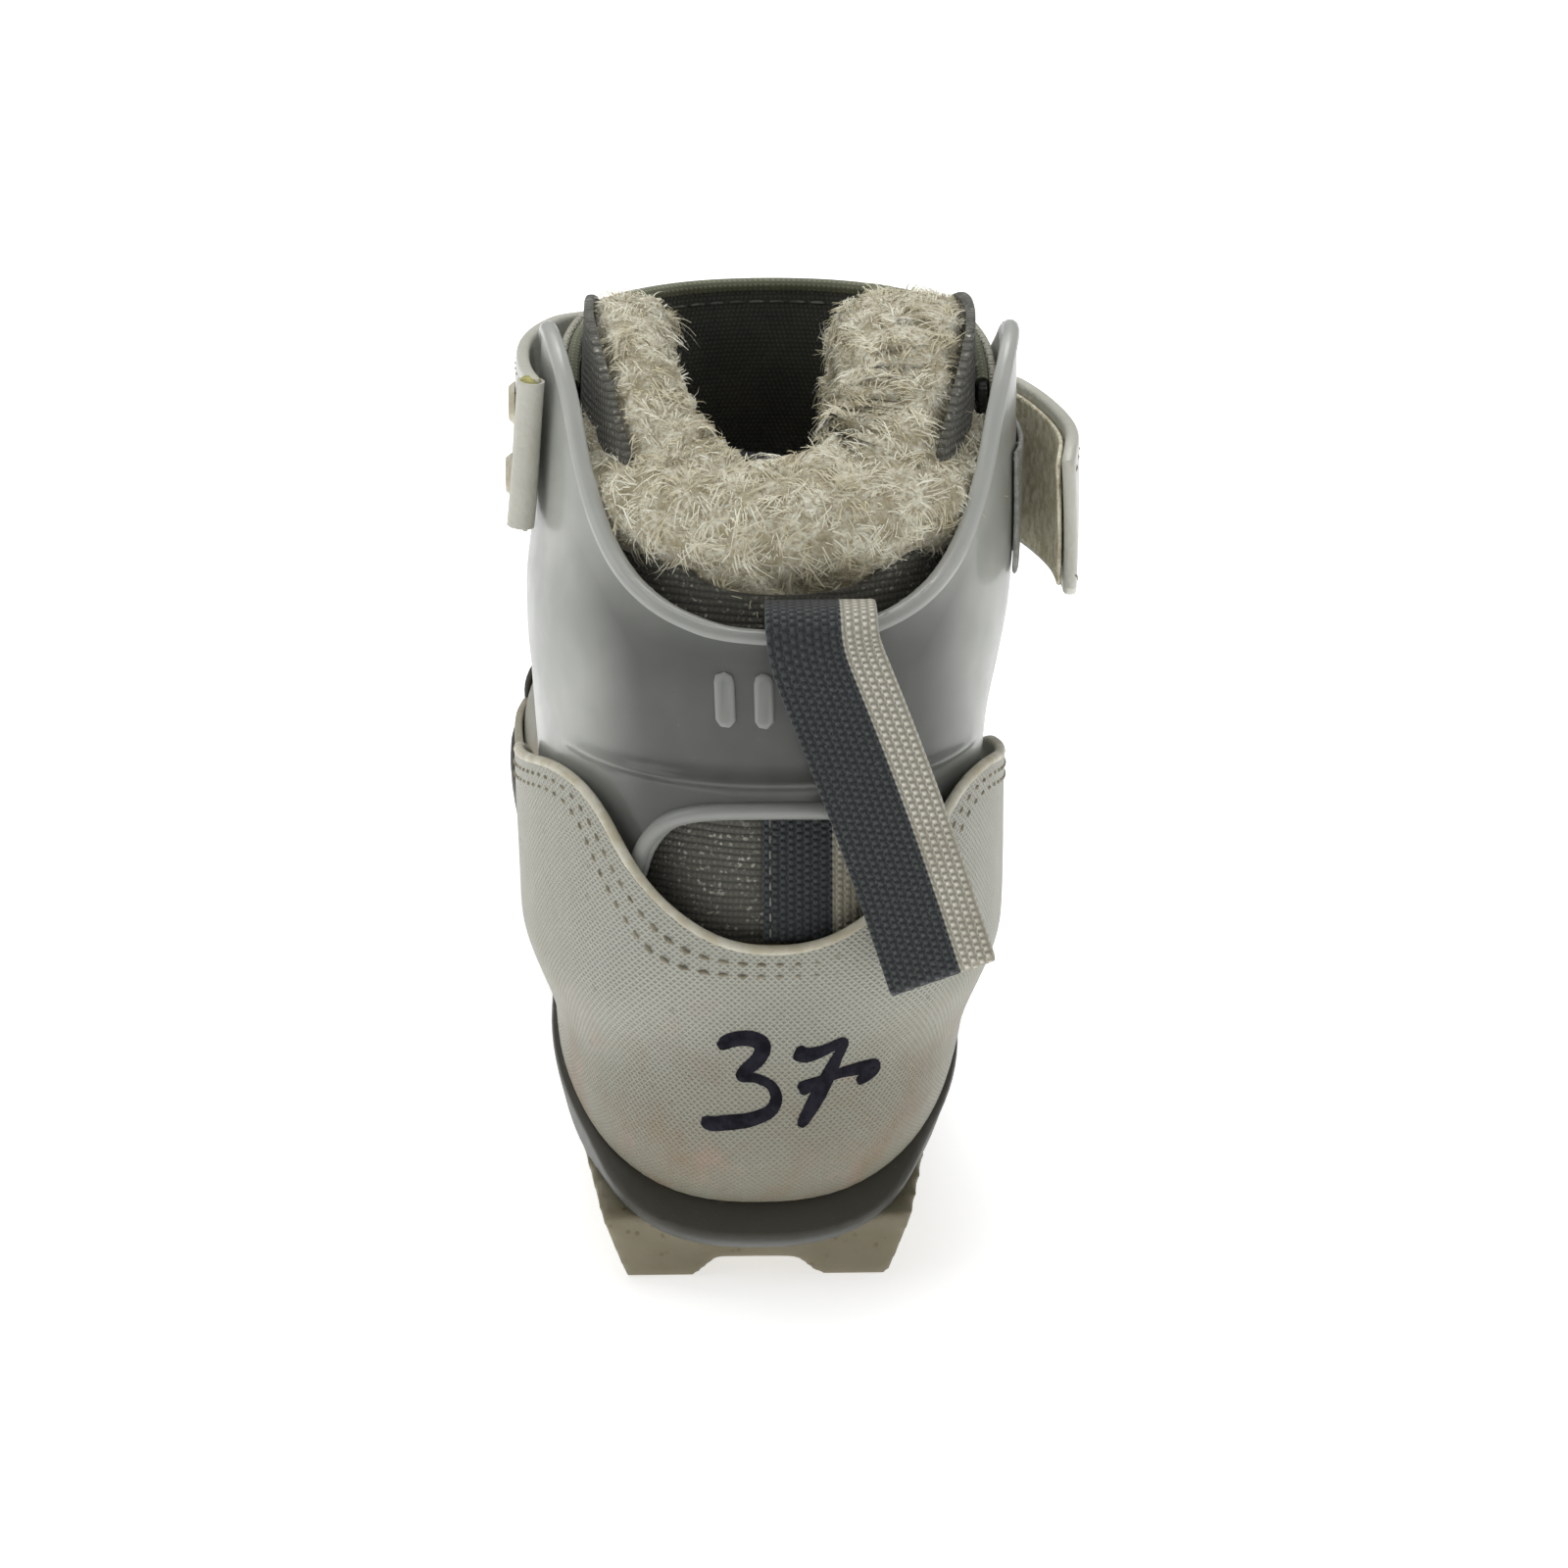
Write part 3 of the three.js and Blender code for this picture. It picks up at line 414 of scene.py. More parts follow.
def row(p):
    """The boot's own millimetres as metres in the shared frame."""
    return np.asarray(p) * MM + SHIFT


# ---- making objects ----
def place(name, points, faces, uv=None, material=None, smooth=40, values=None):
    """A mesh object from points in millimetres, with the place along the surface as its UV map, in metres."""
    mesh = bpy.data.meshes.new(name)
    mesh.from_pydata(row(points).tolist(), [], faces)
    if uv is not None:
        layer = mesh.uv_layers.new(name="UVMap")
        corners = np.array([i for face in faces for i in face])
        layer.data.foreach_set("uv", (uv[corners] * MM).astype(np.float32).reshape(-1))
    for label, numbers in (values or {}).items():
        mesh.attributes.new(label, "FLOAT", "POINT").data.foreach_set("value", numbers.astype(np.float32))
    obj = added(name, mesh)
    weld(mesh)
    mesh.polygons.foreach_set("use_smooth", [True] * len(mesh.polygons))
    if smooth:
        mesh.set_sharp_from_angle(angle=math.radians(smooth))
    if material:
        mesh.materials.append(material)
    return obj


def weld(mesh, distance=0.00002):
    bm = bmesh.new()
    bm.from_mesh(mesh)
    bmesh.ops.remove_doubles(bm, verts=bm.verts, dist=distance)
    bmesh.ops.dissolve_degenerate(bm, edges=bm.edges, dist=distance)
    bm.to_mesh(mesh)
    bm.free()


def added(name, data):
    """A new object in the scene."""
    obj = bpy.data.objects.new(name, data)
    bpy.context.scene.collection.objects.link(obj)
    return obj


def facing_out(obj):
    bm = bmesh.new()
    bm.from_mesh(obj.data)
    bmesh.ops.recalc_face_normals(bm, faces=bm.faces)
    bm.to_mesh(obj.data)
    bm.free()
    return obj


def millimetres(mesh):
    """The mesh's points in the boot's own millimetres."""
    return (np.array([v.co for v in mesh.vertices]) - SHIFT) / MM


def reshaped(mesh, points):
    """Moves the mesh's points to these places, in metres."""
    mesh.vertices.foreach_set("co", points.astype(np.float32).reshape(-1))
    mesh.update()


def applied(obj):
    """The object with its modifiers made part of its mesh."""
    graph = bpy.context.evaluated_depsgraph_get()
    done = bpy.data.meshes.new_from_object(obj.evaluated_get(graph))
    old = obj.data
    obj.modifiers.clear()
    obj.data = done
    bpy.data.meshes.remove(old)
    return obj


def shell(name, patch, inner, outer, material, rounding=0.7):
    """A closed layer over a patch, from one offset to another, with rounded edges."""
    distance = patch.rim_distance()
    for level in (rounding * 0.12, rounding * 0.45, rounding):
        patch.cut(distance - level, both=True)
        distance = patch.rim_distance()
    points, normals, uv = patch.data[:, :3], patch.data[:, 3:6], patch.data[:, 6:8]
    low, high = inner(points), outer(points)
    sunk = np.clip(1 - distance / rounding, 0, 1)
    drop = rounding * (1 - np.sqrt(np.maximum(1 - sunk**2, 0)))
    drop = np.minimum(drop, (high - low) * 0.45)
    top = points + normals * (high - drop)[:, None]
    bottom = points + normals * (low + drop)[:, None]
    count = len(points)
    key = np.round(points, 3)
    index = {}
    same = [index.setdefault(tuple(k), n) for n, k in enumerate(key)]
    use = {}
    for face in patch.faces:
        for a, b in zip(face, face[1:] + face[:1]):
            e = (same[a], same[b])
            use[e] = (a, b)
    faces = [list(face) for face in patch.faces]
    faces += [[i + count for i in reversed(face)] for face in patch.faces]
    for (a, b), (i, j) in use.items():
        if (b, a) not in use and a != b:
            faces.append([j, i, i + count, j + count])
    made = place(name, np.vstack([top, bottom]), faces, np.vstack([uv, uv]), material, smooth=50,
                 values={"rim": np.concatenate([distance, distance])})
    return facing_out(made)


def resample(line, pitch):
    """Data rows evenly spaced along a polyline."""
    reach = np.append(0, np.cumsum(np.linalg.norm(np.diff(line[:, :3], axis=0), axis=1)))
    many = max(2, int(round(reach[-1] / pitch)) + 1)
    want = np.linspace(0, reach[-1], many)
    return np.stack([np.interp(want, reach, line[:, c]) for c in range(line.shape[1])], axis=1)


def stretches(lines, keep, least=8):
    """The runs of each line whose points all pass the test, so nothing is joined across what is left out."""
    out = []
    for line in lines:
        ok = keep(line[:, :3])
        ends = np.flatnonzero(np.diff(np.concatenate([[0], ok.astype(int), [0]])))
        for a, b in ends.reshape(-1, 2):
            if b - a >= least:
                out.append(line[a:b])
    return out


def smoothed(line, times=3):
    line = line.copy()
    for _ in range(times):
        line[1:-1] = line[1:-1] * 0.5 + (line[:-2] + line[2:]) * 0.25
    return line


def strip_faces(rows, around):
    """The faces between rows of points that each run once round."""
    faces = []
    for i in range(rows - 1):
        for j in range(around):
            k = (j + 1) % around
            faces.append([i * around + j, (i + 1) * around + j, (i + 1) * around + k, i * around + k])
    return faces


def end_faces(rows, around):
    last = (rows - 1) * around
    return [list(range(around)), list(reversed(range(last, last + around)))]


def tube(name, line, radius, material, sides=10, flat=1.0, closed=False):
    """A cord along rows of points and normals, in millimetres; flat is its height over its width."""
    points = line[:, :3]
    tangent = np.gradient(points, axis=0)
    tangent /= np.maximum(np.linalg.norm(tangent, axis=1, keepdims=True), 1e-9)
    normal = line[:, 3:6].copy()
    normal -= tangent * (normal * tangent).sum(1, keepdims=True)
    normal /= np.maximum(np.linalg.norm(normal, axis=1, keepdims=True), 1e-9)
    side = np.cross(tangent, normal)
    radius = np.broadcast_to(radius, len(points))
    turn = np.linspace(0, 2 * np.pi, sides, endpoint=False)
    ring = (
        normal[:, None] * (np.cos(turn) * flat)[None, :, None]
        + side[:, None] * np.sin(turn)[None, :, None]
    )
    verts = (points[:, None] + ring * radius[:, None, None]).reshape(-1, 3)
    reach = np.append(0, np.cumsum(np.linalg.norm(np.diff(points, axis=0), axis=1)))
    uv = np.stack(np.broadcast_arrays(turn[None] * radius.mean(), reach[:, None]), axis=2).reshape(-1, 2)
    faces = strip_faces(len(points), sides)
    if not closed:
        faces += end_faces(len(points), sides)
    return facing_out(place(name, verts, faces, uv, material, smooth=60))


def stitches(name, lines, lift, material, pitch=2.9, length=2.1, thick=0.28):
    """A row of thread stitches laid along lines of data rows, lift above the last."""
    verts, faces = [], []
    ring_at = [(-0.5, 0.35), (-0.3, 0.9), (0.0, 1.0), (0.3, 0.9), (0.5, 0.35)]
    for line in lines:
        spots = resample(smoothed(line), pitch)
        for i in range(len(spots) - 1):
            a, b = spots[i], spots[i + 1]
            normal = a[3:6] / np.linalg.norm(a[3:6])
            along = b[:3] - a[:3]
            far = np.linalg.norm(along)
            if far < pitch * 0.5:
                continue
            along /= far
            side = np.cross(along, normal)
            height = lift(a[None, :3])[0] if callable(lift) else lift
            middle = (a[:3] + b[:3]) / 2 + normal * (height + thick * 0.1)
            start = len(verts)
            for share, size in ring_at:
                dip = -abs(share) * thick * 1.6
                centre = middle + along * share * length + normal * dip
                for k in range(6):
                    turn = k * math.pi / 3
                    verts.append(centre + (normal * math.cos(turn) + side * math.sin(turn)) * thick * size)
            for r in range(len(ring_at) - 1):
                for k in range(6):
                    m = (k + 1) % 6
                    low = start + r * 6
                    faces.append([low + k, low + m, low + 6 + m, low + 6 + k])
            faces.append([start + k for k in reversed(range(6))])
            faces.append([start + (len(ring_at) - 1) * 6 + k for k in range(6)])
    return place(name, np.array(verts), faces, None, material, smooth=0)


def settle(obj, body, slot, *nodes, blend=None):
    """Rides the piece on its body, or with blend bakes it where it stands, and hides the CAD nodes it stands
    for.
    """
    if blend:
        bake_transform(obj)
    else:
        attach(obj, body)
    if nodes:
        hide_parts(*nodes)
    return obj


# ---- materials ----
class Look:
    """A procedural material: the Principled shader and short ways to add nodes in front of it."""

    def __init__(self, name, roughness=0.6, **settings):
        self.material = bpy.data.materials.new(name)
        self.material.use_nodes = True
        self.tree = self.material.node_tree
        self.shader = self.tree.nodes["Principled BSDF"]
        self.spot = self.coordinates("Object")
        self.set("Roughness", roughness)
        for key, value in settings.items():
            self.set(key.replace("_", " "), value)

    def set(self, key, value):
        if isinstance(value, bpy.types.NodeSocket):
            self.tree.links.new(value, self.shader.inputs[key])
        elif isinstance(value, tuple):
            self.shader.inputs[key].default_value = (*value, 1)
        else:
            self.shader.inputs[key].default_value = value

    def node(self, kind, inputs, **settings):
        made = self.tree.nodes.new(kind)
        for key, value in settings.items():
            setattr(made, key, value)
        for key, value in inputs.items():
            if isinstance(value, bpy.types.NodeSocket):
                self.tree.links.new(value, made.inputs[key])
            elif value is not None:
                made.inputs[key].default_value = value
        return made

    def coordinates(self, kind):
        return self.node("ShaderNodeTexCoord", {}).outputs[kind]

    def across_and_along(self):
        uv = self.coordinates("UV")
        return self.axis(uv, "X"), self.axis(uv, "Y")

    def attribute(self, name):
        return self.node("ShaderNodeAttribute", {}, attribute_name=name).outputs["Fac"]

    def axis(self, vector, letter):
        return self.node("ShaderNodeSeparateXYZ", {0: vector}).outputs[letter]

    def maths(self, operation, *values):
        return self.node("ShaderNodeMath", dict(enumerate(values)), operation=operation).outputs[0]

    def times(self, first, second):
        return self.maths("MULTIPLY", first, second)

    def scaled(self, value, factor, start):
        return self.maths("MULTIPLY_ADD", value, factor, start)

    def noise(self, size, detail=3.0, roughness=0.55):
        """Noise whose blotches are about size millimetres across."""
        made = self.node("ShaderNodeTexNoise", {
            "Vector": self.spot, "Scale": 1 / (size * MM), "Detail": detail, "Roughness": roughness,
        })
        return made.outputs["Fac"]

    def cells(self, size, output="Distance"):
        made = self.node("ShaderNodeTexVoronoi", {"Vector": self.spot, "Scale": 1 / (size * MM)})
        return made.outputs[output]

    def wave(self, value, pitch):
        """0 to 1 and back once every pitch millimetres of value."""
        turn = self.maths("MULTIPLY", value, 2 * math.pi / (pitch * MM))
        return self.maths("MULTIPLY_ADD", self.maths("SINE", turn), 0.5, 0.5)

    def between(self, value, low, high):
        made = self.node("ShaderNodeMapRange", {"Value": value, "From Min": low, "From Max": high},
                         interpolation_type="SMOOTHSTEP")
        return made.outputs["Result"]

    def blend(self, share, first, second):
        made = self.tree.nodes.new("ShaderNodeMix")
        made.data_type = "RGBA"
        for key, value in (("Factor", share), ("A", first), ("B", second)):
            socket = next(s for s in made.inputs if s.name == key and s.enabled)
            if isinstance(value, bpy.types.NodeSocket):
                self.tree.links.new(value, socket)
            else:
                socket.default_value = (*value, 1) if isinstance(value, tuple) else value
        return next(s for s in made.outputs if s.enabled)

    def over(self, colour, share, strength, added):
        """The colour with another laid over it, as far as share times strength."""
        return self.blend(self.times(share, strength), colour, added)

    def bump(self, height, depth, strength=1.0):
        """Relief whose full height is depth millimetres."""
        under = self.shader.inputs["Normal"].links
        before = under[0].from_socket if under else None
        made = self.node("ShaderNodeBump", {
            "Height": height, "Distance": depth * MM, "Strength": strength, "Normal": before,
        })
        self.set("Normal", made.outputs["Normal"])


def leatherette(name, pitch=1.05, depth=0.22, shaded_and_stained=True, base=(0.44, 0.44, 0.38)):
    """White coated fabric, embossed with a fine diagonal weave, with painted shade and grime low down."""
    look = Look(name, roughness=0.52, Coat_Weight=0.04)
    u, v = look.across_and_along()
    first = look.wave(look.maths("ADD", u, v), pitch)
    second = look.wave(look.maths("SUBTRACT", u, v), pitch)
    weave = look.maths("MAXIMUM", first, second)
    colour = look.blend(look.between(look.noise(22), 0.35, 0.7), base,
                        tuple(c * f for c, f in zip(base, (0.93, 0.92, 0.88))))
    # The weave's grooves are painted darker: painted shade in the emboss.
    colour = look.blend(look.between(weave, 0.75, 0.2), colour, tuple(c * 0.72 for c in base))
    if shaded_and_stained:
        height = look.axis(look.spot, "Z")
        # Darker towards the bottom: painted shade low down, partly grime; the soil, pink stains and flecks
        # below are real marks.
        low = look.between(height, 0.060, 0.020)
        colour = look.over(colour, low, 0.7, (0.20, 0.185, 0.125))
        patchy = look.between(look.noise(16, 5.0, 0.65), 0.42, 0.68)
        soil = look.times(low, patchy)
        colour = look.over(colour, soil, 0.75, (0.26, 0.19, 0.12))
        pink = look.times(look.between(look.noise(9, 2.0), 0.58, 0.75),
                          look.between(height, 0.064, 0.03))
        colour = look.over(colour, pink, 0.35, (0.42, 0.27, 0.21))
        flecks = look.between(look.cells(5.2), 0.13, 0.06)
        colour = look.over(colour, flecks, 0.4, (0.22, 0.18, 0.12))
    edge = look.between(look.attribute("rim"), 1.1, 0.0)
    colour = look.over(colour, edge, 0.35, (0.40, 0.37, 0.27))
    look.set("Base Color", colour)
    look.set("Roughness", look.scaled(look.noise(6), 0.22, 0.42))
    look.bump(look.noise(14, 2.0), 1.0, 0.35)
    look.bump(weave, depth)
    return look.material


def smooth_leatherette(name):
    """The strap's smoother white coating, with a faint pebble and creases."""
    look = Look(name, roughness=0.4, Coat_Weight=0.12)
    pebble = look.cells(0.9)
    colour = look.blend(look.between(look.noise(12), 0.3, 0.75), (0.60, 0.61, 0.57), (0.52, 0.52, 0.47))
    edge = look.between(look.attribute("rim"), 1.2, 0.0)
    colour = look.over(colour, edge, 0.4, (0.52, 0.49, 0.38))
    look.set("Base Color", colour)
    look.bump(look.noise(7, 2.0), 0.5, 0.5)
    look.bump(pebble, 0.08)
    return look.material


def shimmer_knit(name):
    """Grey stretch knit in fine rows, painted darker between them as shade, with bright flecks of tinsel
    yarn.
    """
    look = Look(name, roughness=0.75, Sheen_Weight=0.25)
    u, v = look.across_and_along()
    sway = look.times(look.noise(9, 2.0), 0.0012)
    rows = look.wave(look.maths("ADD", v, sway), 1.15)
    loops = look.wave(look.maths("ADD", u, look.times(rows, 0.0003)), 0.9)
    knit = look.times(look.maths("POWER", rows, 0.5), look.scaled(loops, 0.45, 0.55))
    fleck = look.between(look.cells(0.5, output="Color"), 0.72, 0.9)
    # Darker in the dips between the knit's rows and loops: painted shade in the knit.
    colour = look.blend(knit, (0.055, 0.055, 0.045), (0.135, 0.133, 0.108))
    patchy = look.between(look.noise(5, 4.0), 0.3, 0.7)
    colour = look.over(colour, patchy, 0.35, (0.075, 0.073, 0.058))
    colour = look.blend(look.times(fleck, knit), colour, (0.46, 0.45, 0.38))
    look.set("Base Color", colour)
    look.set("Metallic", look.times(fleck, 0.35))
    look.set("Roughness", look.scaled(fleck, -0.4, 0.8))
    look.bump(knit, 0.25)
    return look.material


def fleece_pile(name):
    """Matted cream pile: pale tips, and hollows painted darker yellow-brown, partly painted shade and partly
    yellowed fibre.
    """
    look = Look(name, roughness=0.95, Sheen_Weight=0.35)
    clump = look.noise(4.5, 4.0, 0.7)
    strand = look.noise(0.9, 3.0, 0.6)
    # Darker where the clumps and strands dip: painted shade in the pile's hollows, partly yellowed fibre.
    colour = look.blend(look.between(clump, 0.36, 0.62), (0.42, 0.38, 0.25), (0.80, 0.78, 0.64))
    colour = look.blend(look.between(strand, 0.6, 0.3), colour, (0.42, 0.35, 0.22))
    look.set("Base Color", colour)
    look.bump(clump, 1.4, 0.9)
    look.bump(strand, 0.6)
    return look.material


def pile_strand(name):
    look = Look(name, roughness=0.85, Sheen_Weight=0.3)
    tone = look.attribute("tone")
    colour = look.blend(tone, (0.66, 0.61, 0.42), (0.97, 0.96, 0.84))
    yellowed = look.between(look.noise(7, 3.0), 0.56, 0.42)
    yellowed = look.times(yellowed, 0.8)
    colour = look.blend(yellowed, colour, (0.66, 0.60, 0.41))
    look.set("Base Color", colour)
    return look.material


def milky_plastic(name):
    """The cuff's translucent plastic, cloudy and lightly scuffed, through which the knit shows grey; its
    sides and top are painted lighter and more opaque as a painted sheen.
    """
    look = Look(name, roughness=0.34, Coat_Weight=0.25, IOR=1.45)
    cloud = look.between(look.noise(26, 3.0), 0.35, 0.7)
    # The lighter, more opaque colour at the sides and top (thick, sides, high) is a painted sheen where the
    # view grazes the plastic, not thicker plastic.
    thin = look.blend(cloud, (0.10, 0.105, 0.095), (0.135, 0.14, 0.13))
    thick = look.blend(cloud, (0.36, 0.375, 0.345), (0.45, 0.46, 0.425))
    edge = look.between(look.attribute("rim"), 2.2, 0.2)
    sides = look.between(look.maths("ABSOLUTE", look.axis(look.spot, "X")), 0.021, 0.035)
    high = look.between(look.axis(look.spot, "Z"), 0.106, 0.126)
    sides = look.maths("MAXIMUM", sides, high)
    colour = look.blend(sides, thin, thick)
    colour = look.over(colour, edge, 0.5, (0.50, 0.51, 0.48))
    scuff = look.between(look.noise(2.2, 6.0, 0.75), 0.64, 0.78)
    colour = look.over(colour, scuff, 0.25, (0.42, 0.42, 0.36))
    look.set("Base Color", colour)
    cover = look.scaled(sides, 0.12, look.scaled(cloud, 0.05, 0.74))
    look.set("Alpha", look.scaled(edge, 0.10, cover))
    look.set("Roughness", look.scaled(look.noise(5, 4.0), 0.3, 0.2))
    look.bump(look.noise(18, 2.0), 1.2, 0.35)
    return look.material


def webbing(name):
    """Two-tone tape: two thirds slate blue and one third off-white, in rows of fat yarns."""
    look = Look(name, roughness=0.82, Sheen_Weight=0.15)
    u, v = look.across_and_along()
    column = look.maths("FLOOR", look.maths("DIVIDE", u, 1.25 * MM))
    offset = look.times(look.maths("MODULO", look.maths("ABSOLUTE", column), 2.0), 0.6 * MM)
    across = look.wave(u, 1.25)
    along = look.wave(look.maths("ADD", v, offset), 1.2)
    yarn = look.times(look.maths("POWER", across, 0.5), look.maths("POWER", along, 0.7))
    light = look.between(u, 2.85 * MM, 3.1 * MM)
    hair = look.noise(0.35, 2.0)
    # Each tone is painted darker between the yarns: painted shade in the weave.
    dark_side = look.blend(yarn, (0.010, 0.012, 0.013), (0.052, 0.062, 0.066))
    light_side = look.blend(yarn, (0.30, 0.28, 0.22), (0.78, 0.76, 0.66))
    grime = look.times(look.between(look.noise(11, 4.0), 0.38, 0.66),
                       look.between(look.axis(look.spot, "Z"), 0.098, 0.062))
    light_side = look.over(light_side, grime, 0.75, (0.30, 0.27, 0.19))
    colour = look.blend(light, dark_side, light_side)
    colour = look.over(colour, look.between(hair, 0.55, 0.8), 0.25, (0.35, 0.34, 0.30))
    look.set("Base Color", colour)
    look.bump(yarn, 0.42)
    return look.material


def band_rubber(name):
    """Matt grey rubber, scuffed, with dirt worked into its upper edge."""
    look = Look(name, roughness=0.6)
    tone = look.between(look.noise(15, 4.0), 0.35, 0.7)
    colour = look.blend(tone, (0.12, 0.125, 0.12), (0.08, 0.082, 0.072))
    edge = look.between(look.attribute("rim"), 1.6, 0.1)
    colour = look.over(colour, edge, 0.85, (0.035, 0.030, 0.018))
    dust = look.between(look.noise(3.2, 6.0, 0.7), 0.6, 0.78)
    colour = look.over(colour, dust, 0.4, (0.17, 0.16, 0.12))
    look.set("Base Color", colour)
    look.set("Roughness", look.scaled(look.noise(4), 0.3, 0.4))
    look.bump(look.noise(0.8, 4.0), 0.06)
    return look.material


def sole_rubber(name):
    """Yellowed white sole rubber with brown specks and a dirty tread."""
    look = Look(name, roughness=0.5)
    tone = look.between(look.noise(12, 4.0), 0.3, 0.7)
    colour = look.blend(tone, (0.27, 0.245, 0.17), (0.21, 0.185, 0.115))
    specks = look.between(look.cells(1.9), 0.30, 0.16)
    some = look.between(look.noise(6, 3.0), 0.45, 0.62)
    low = look.between(look.axis(look.spot, "Z"), 0.016, 0.002)
    colour = look.over(colour, look.times(specks, some), 0.8, (0.12, 0.08, 0.04))
    colour = look.over(colour, low, 0.45, (0.20, 0.165, 0.10))
    look.set("Base Color", colour)
    look.bump(look.noise(1.4, 4.0), 0.12)
    return look.material


def woven_cloth(name, first, second, pitch=0.8, roughness=0.85, depth=0.12, sheen=0.15):
    """Plain cloth in two close tones."""
    look = Look(name, roughness=roughness, Sheen_Weight=sheen)
    u, v = look.across_and_along()
    weave = look.times(look.wave(u, pitch), look.wave(v, pitch))
    # The weave lifts the tone on raised threads: painted shade between the threads, mixed with random tone.
    tone = look.scaled(look.noise(8, 4.0), 0.6, look.times(weave, 0.4))
    look.set("Base Color", look.blend(look.between(tone, 0.2, 0.75), first, second))
    look.bump(weave, depth)
    look.bump(look.noise(12, 2.0), 0.8, 0.4)
    return look.material


def mottled(name, first, second, size=3.0, roughness=0.6, depth=0.15, **settings):
    """A plain moulded or matted stuff in two close tones with a fine uneven surface."""
    look = Look(name, roughness=roughness, **settings)
    tone = look.noise(size, 4.0, 0.6)
    look.set("Base Color", look.blend(look.between(tone, 0.35, 0.65), first, second))
    look.set("Roughness", look.scaled(look.noise(size * 0.4), 0.25, roughness - 0.12))
    look.bump(look.noise(size * 0.35, 4.0), depth)
    return look.material


WHITE = leatherette("woven_leatherette")
COVER = leatherette("cover_leatherette", shaded_and_stained=False)
STRAP = smooth_leatherette("strap_leatherette")
KNIT = shimmer_knit("shimmer_knit")
FLEECE = fleece_pile("fleece")
STRAND = pile_strand("fleece_strand")
MILKY = milky_plastic("milky_plastic")
WEBBING = webbing("two_tone_webbing")
BAND = band_rubber("grey_band_rubber")
SOLE = sole_rubber("cream_sole_rubber")
LINING = woven_cloth("dark_lining", (0.045, 0.049, 0.042), (0.105, 0.110, 0.095))
FELT = mottled("insole_felt", (0.10, 0.10, 0.10), (0.20, 0.20, 0.20), size=1.5, roughness=0.95, depth=0.4)
PIPING = woven_cloth("olive_piping", (0.13, 0.14, 0.09), (0.24, 0.25, 0.17), pitch=0.9)
RIM_ROLL = mottled("rolled_edge", (0.62, 0.60, 0.50), (0.48, 0.44, 0.32), size=4, roughness=0.55)
THREAD = mottled("thread", (0.30, 0.27, 0.20), (0.17, 0.15, 0.10), size=2, roughness=0.8)
GREY_THREAD = mottled("grey_thread", (0.24, 0.24, 0.22), (0.12, 0.12, 0.11), size=2, roughness=0.8)
STEEL = mottled("brushed_steel", (0.55, 0.55, 0.54), (0.40, 0.40, 0.39), size=1.2, roughness=0.36, depth=0.03,
                Metallic=1.0)
DARK_PLASTIC = mottled("dark_plastic", (0.030, 0.032, 0.034), (0.050, 0.052, 0.052), size=2, roughness=0.45,
                       depth=0.04)
BOARD = mottled("fibre_board", (0.36, 0.29, 0.19), (0.27, 0.21, 0.13), size=1.6, roughness=0.85, depth=0.2)
LOOP_SIDE = mottled("loop_tape", (0.92, 0.88, 0.70), (0.62, 0.55, 0.38), size=2.2, roughness=0.95, depth=0.7)
HOOK_SIDE = mottled("hook_tape", (0.52, 0.53, 0.50), (0.36, 0.36, 0.33), size=0.9, roughness=0.7, depth=0.5)
FOAM = mottled("cut_foam", (0.55, 0.52, 0.20), (0.38, 0.36, 0.13), size=1.0, roughness=0.9, depth=0.3)
FLEECE_FLAT = mottled("short_fleece", (0.58, 0.54, 0.42), (0.40, 0.36, 0.26), size=2.2, roughness=0.95,
                      depth=0.8)
TONGUE_CLOTH = mottled("tongue_cloth", (0.16, 0.16, 0.17), (0.30, 0.30, 0.31), size=3.0, roughness=0.95,
                       depth=0.5)
INK = mottled("marker_ink", (0.006, 0.006, 0.010), (0.020, 0.019, 0.028), size=2, roughness=0.85, depth=0.03,
              Specular_IOR_Level=0.15)


# ---- regions of the last, in the side view ----
SPLIT_R = EAR_R + 3
SPLIT_Z = PIVOT[2] - 2
UPPER_START = 180 - math.degrees(math.asin((SPLIT_Z - PIVOT[2]) / SPLIT_R))


def arc(r, from_deg, to_deg, steps=20):
    return [on_ray(deg, r) for deg in np.linspace(from_deg, to_deg, steps)]


foot_side = outline([
    (-FAR, -FAR), (-FAR, SPLIT_Z), *arc(SPLIT_R, UPPER_START, THROAT_DEG),
    on_ray(THROAT_DEG, FAR), (FAR, -FAR),
])
shaft_side = outline([
    (-FAR, SPLIT_Z + 2 * GAP), *arc(SPLIT_R + 2 * GAP, 180, THROAT_DEG + FLEX_DEG + 1),
    on_ray(THROAT_DEG + FLEX_DEG + 1, FAR), (FAR, FAR), (-FAR, FAR),
])
band_top = curve([(-12, 13.5), (4, 15), (16, 21), (32, 27.5), (55, 30), (90, 28), (140, 24.5), (190, 24),
                  (225, 26), (250, 30), (275, 32)], 90)
counter_top = curve([(-14, 61.5), (1, 61.8), (3.3, 63.5), (6.6, 68.3), (11, 75), (15, 81), (20, 84.5),
                     (27, 84.8), (38, 82), (50, 79), (60, 76), (69, 71.5), (77, 64), (84, 52), (96, 38),
                     (112, 28)], 120)
cuff_rim = curve([(-10, 111), (8, 111.5), (14, 114), (22, 121), (30, 132), (37, 144), (45, 150.5), (56, 150),
                  (66, 143)], 70)
cuff_front = curve([(69, 132), (68, 112), (66, 96), (65, 84)], 20)
cuff_arch = curve([(36, 59), (30, 61), (22, 63), (14, 65), (10.5, 70), (9.8, 76), (8.5, 80.5), (6, 83),
                   (2, 83.5), (-12, 83.5)], 60)
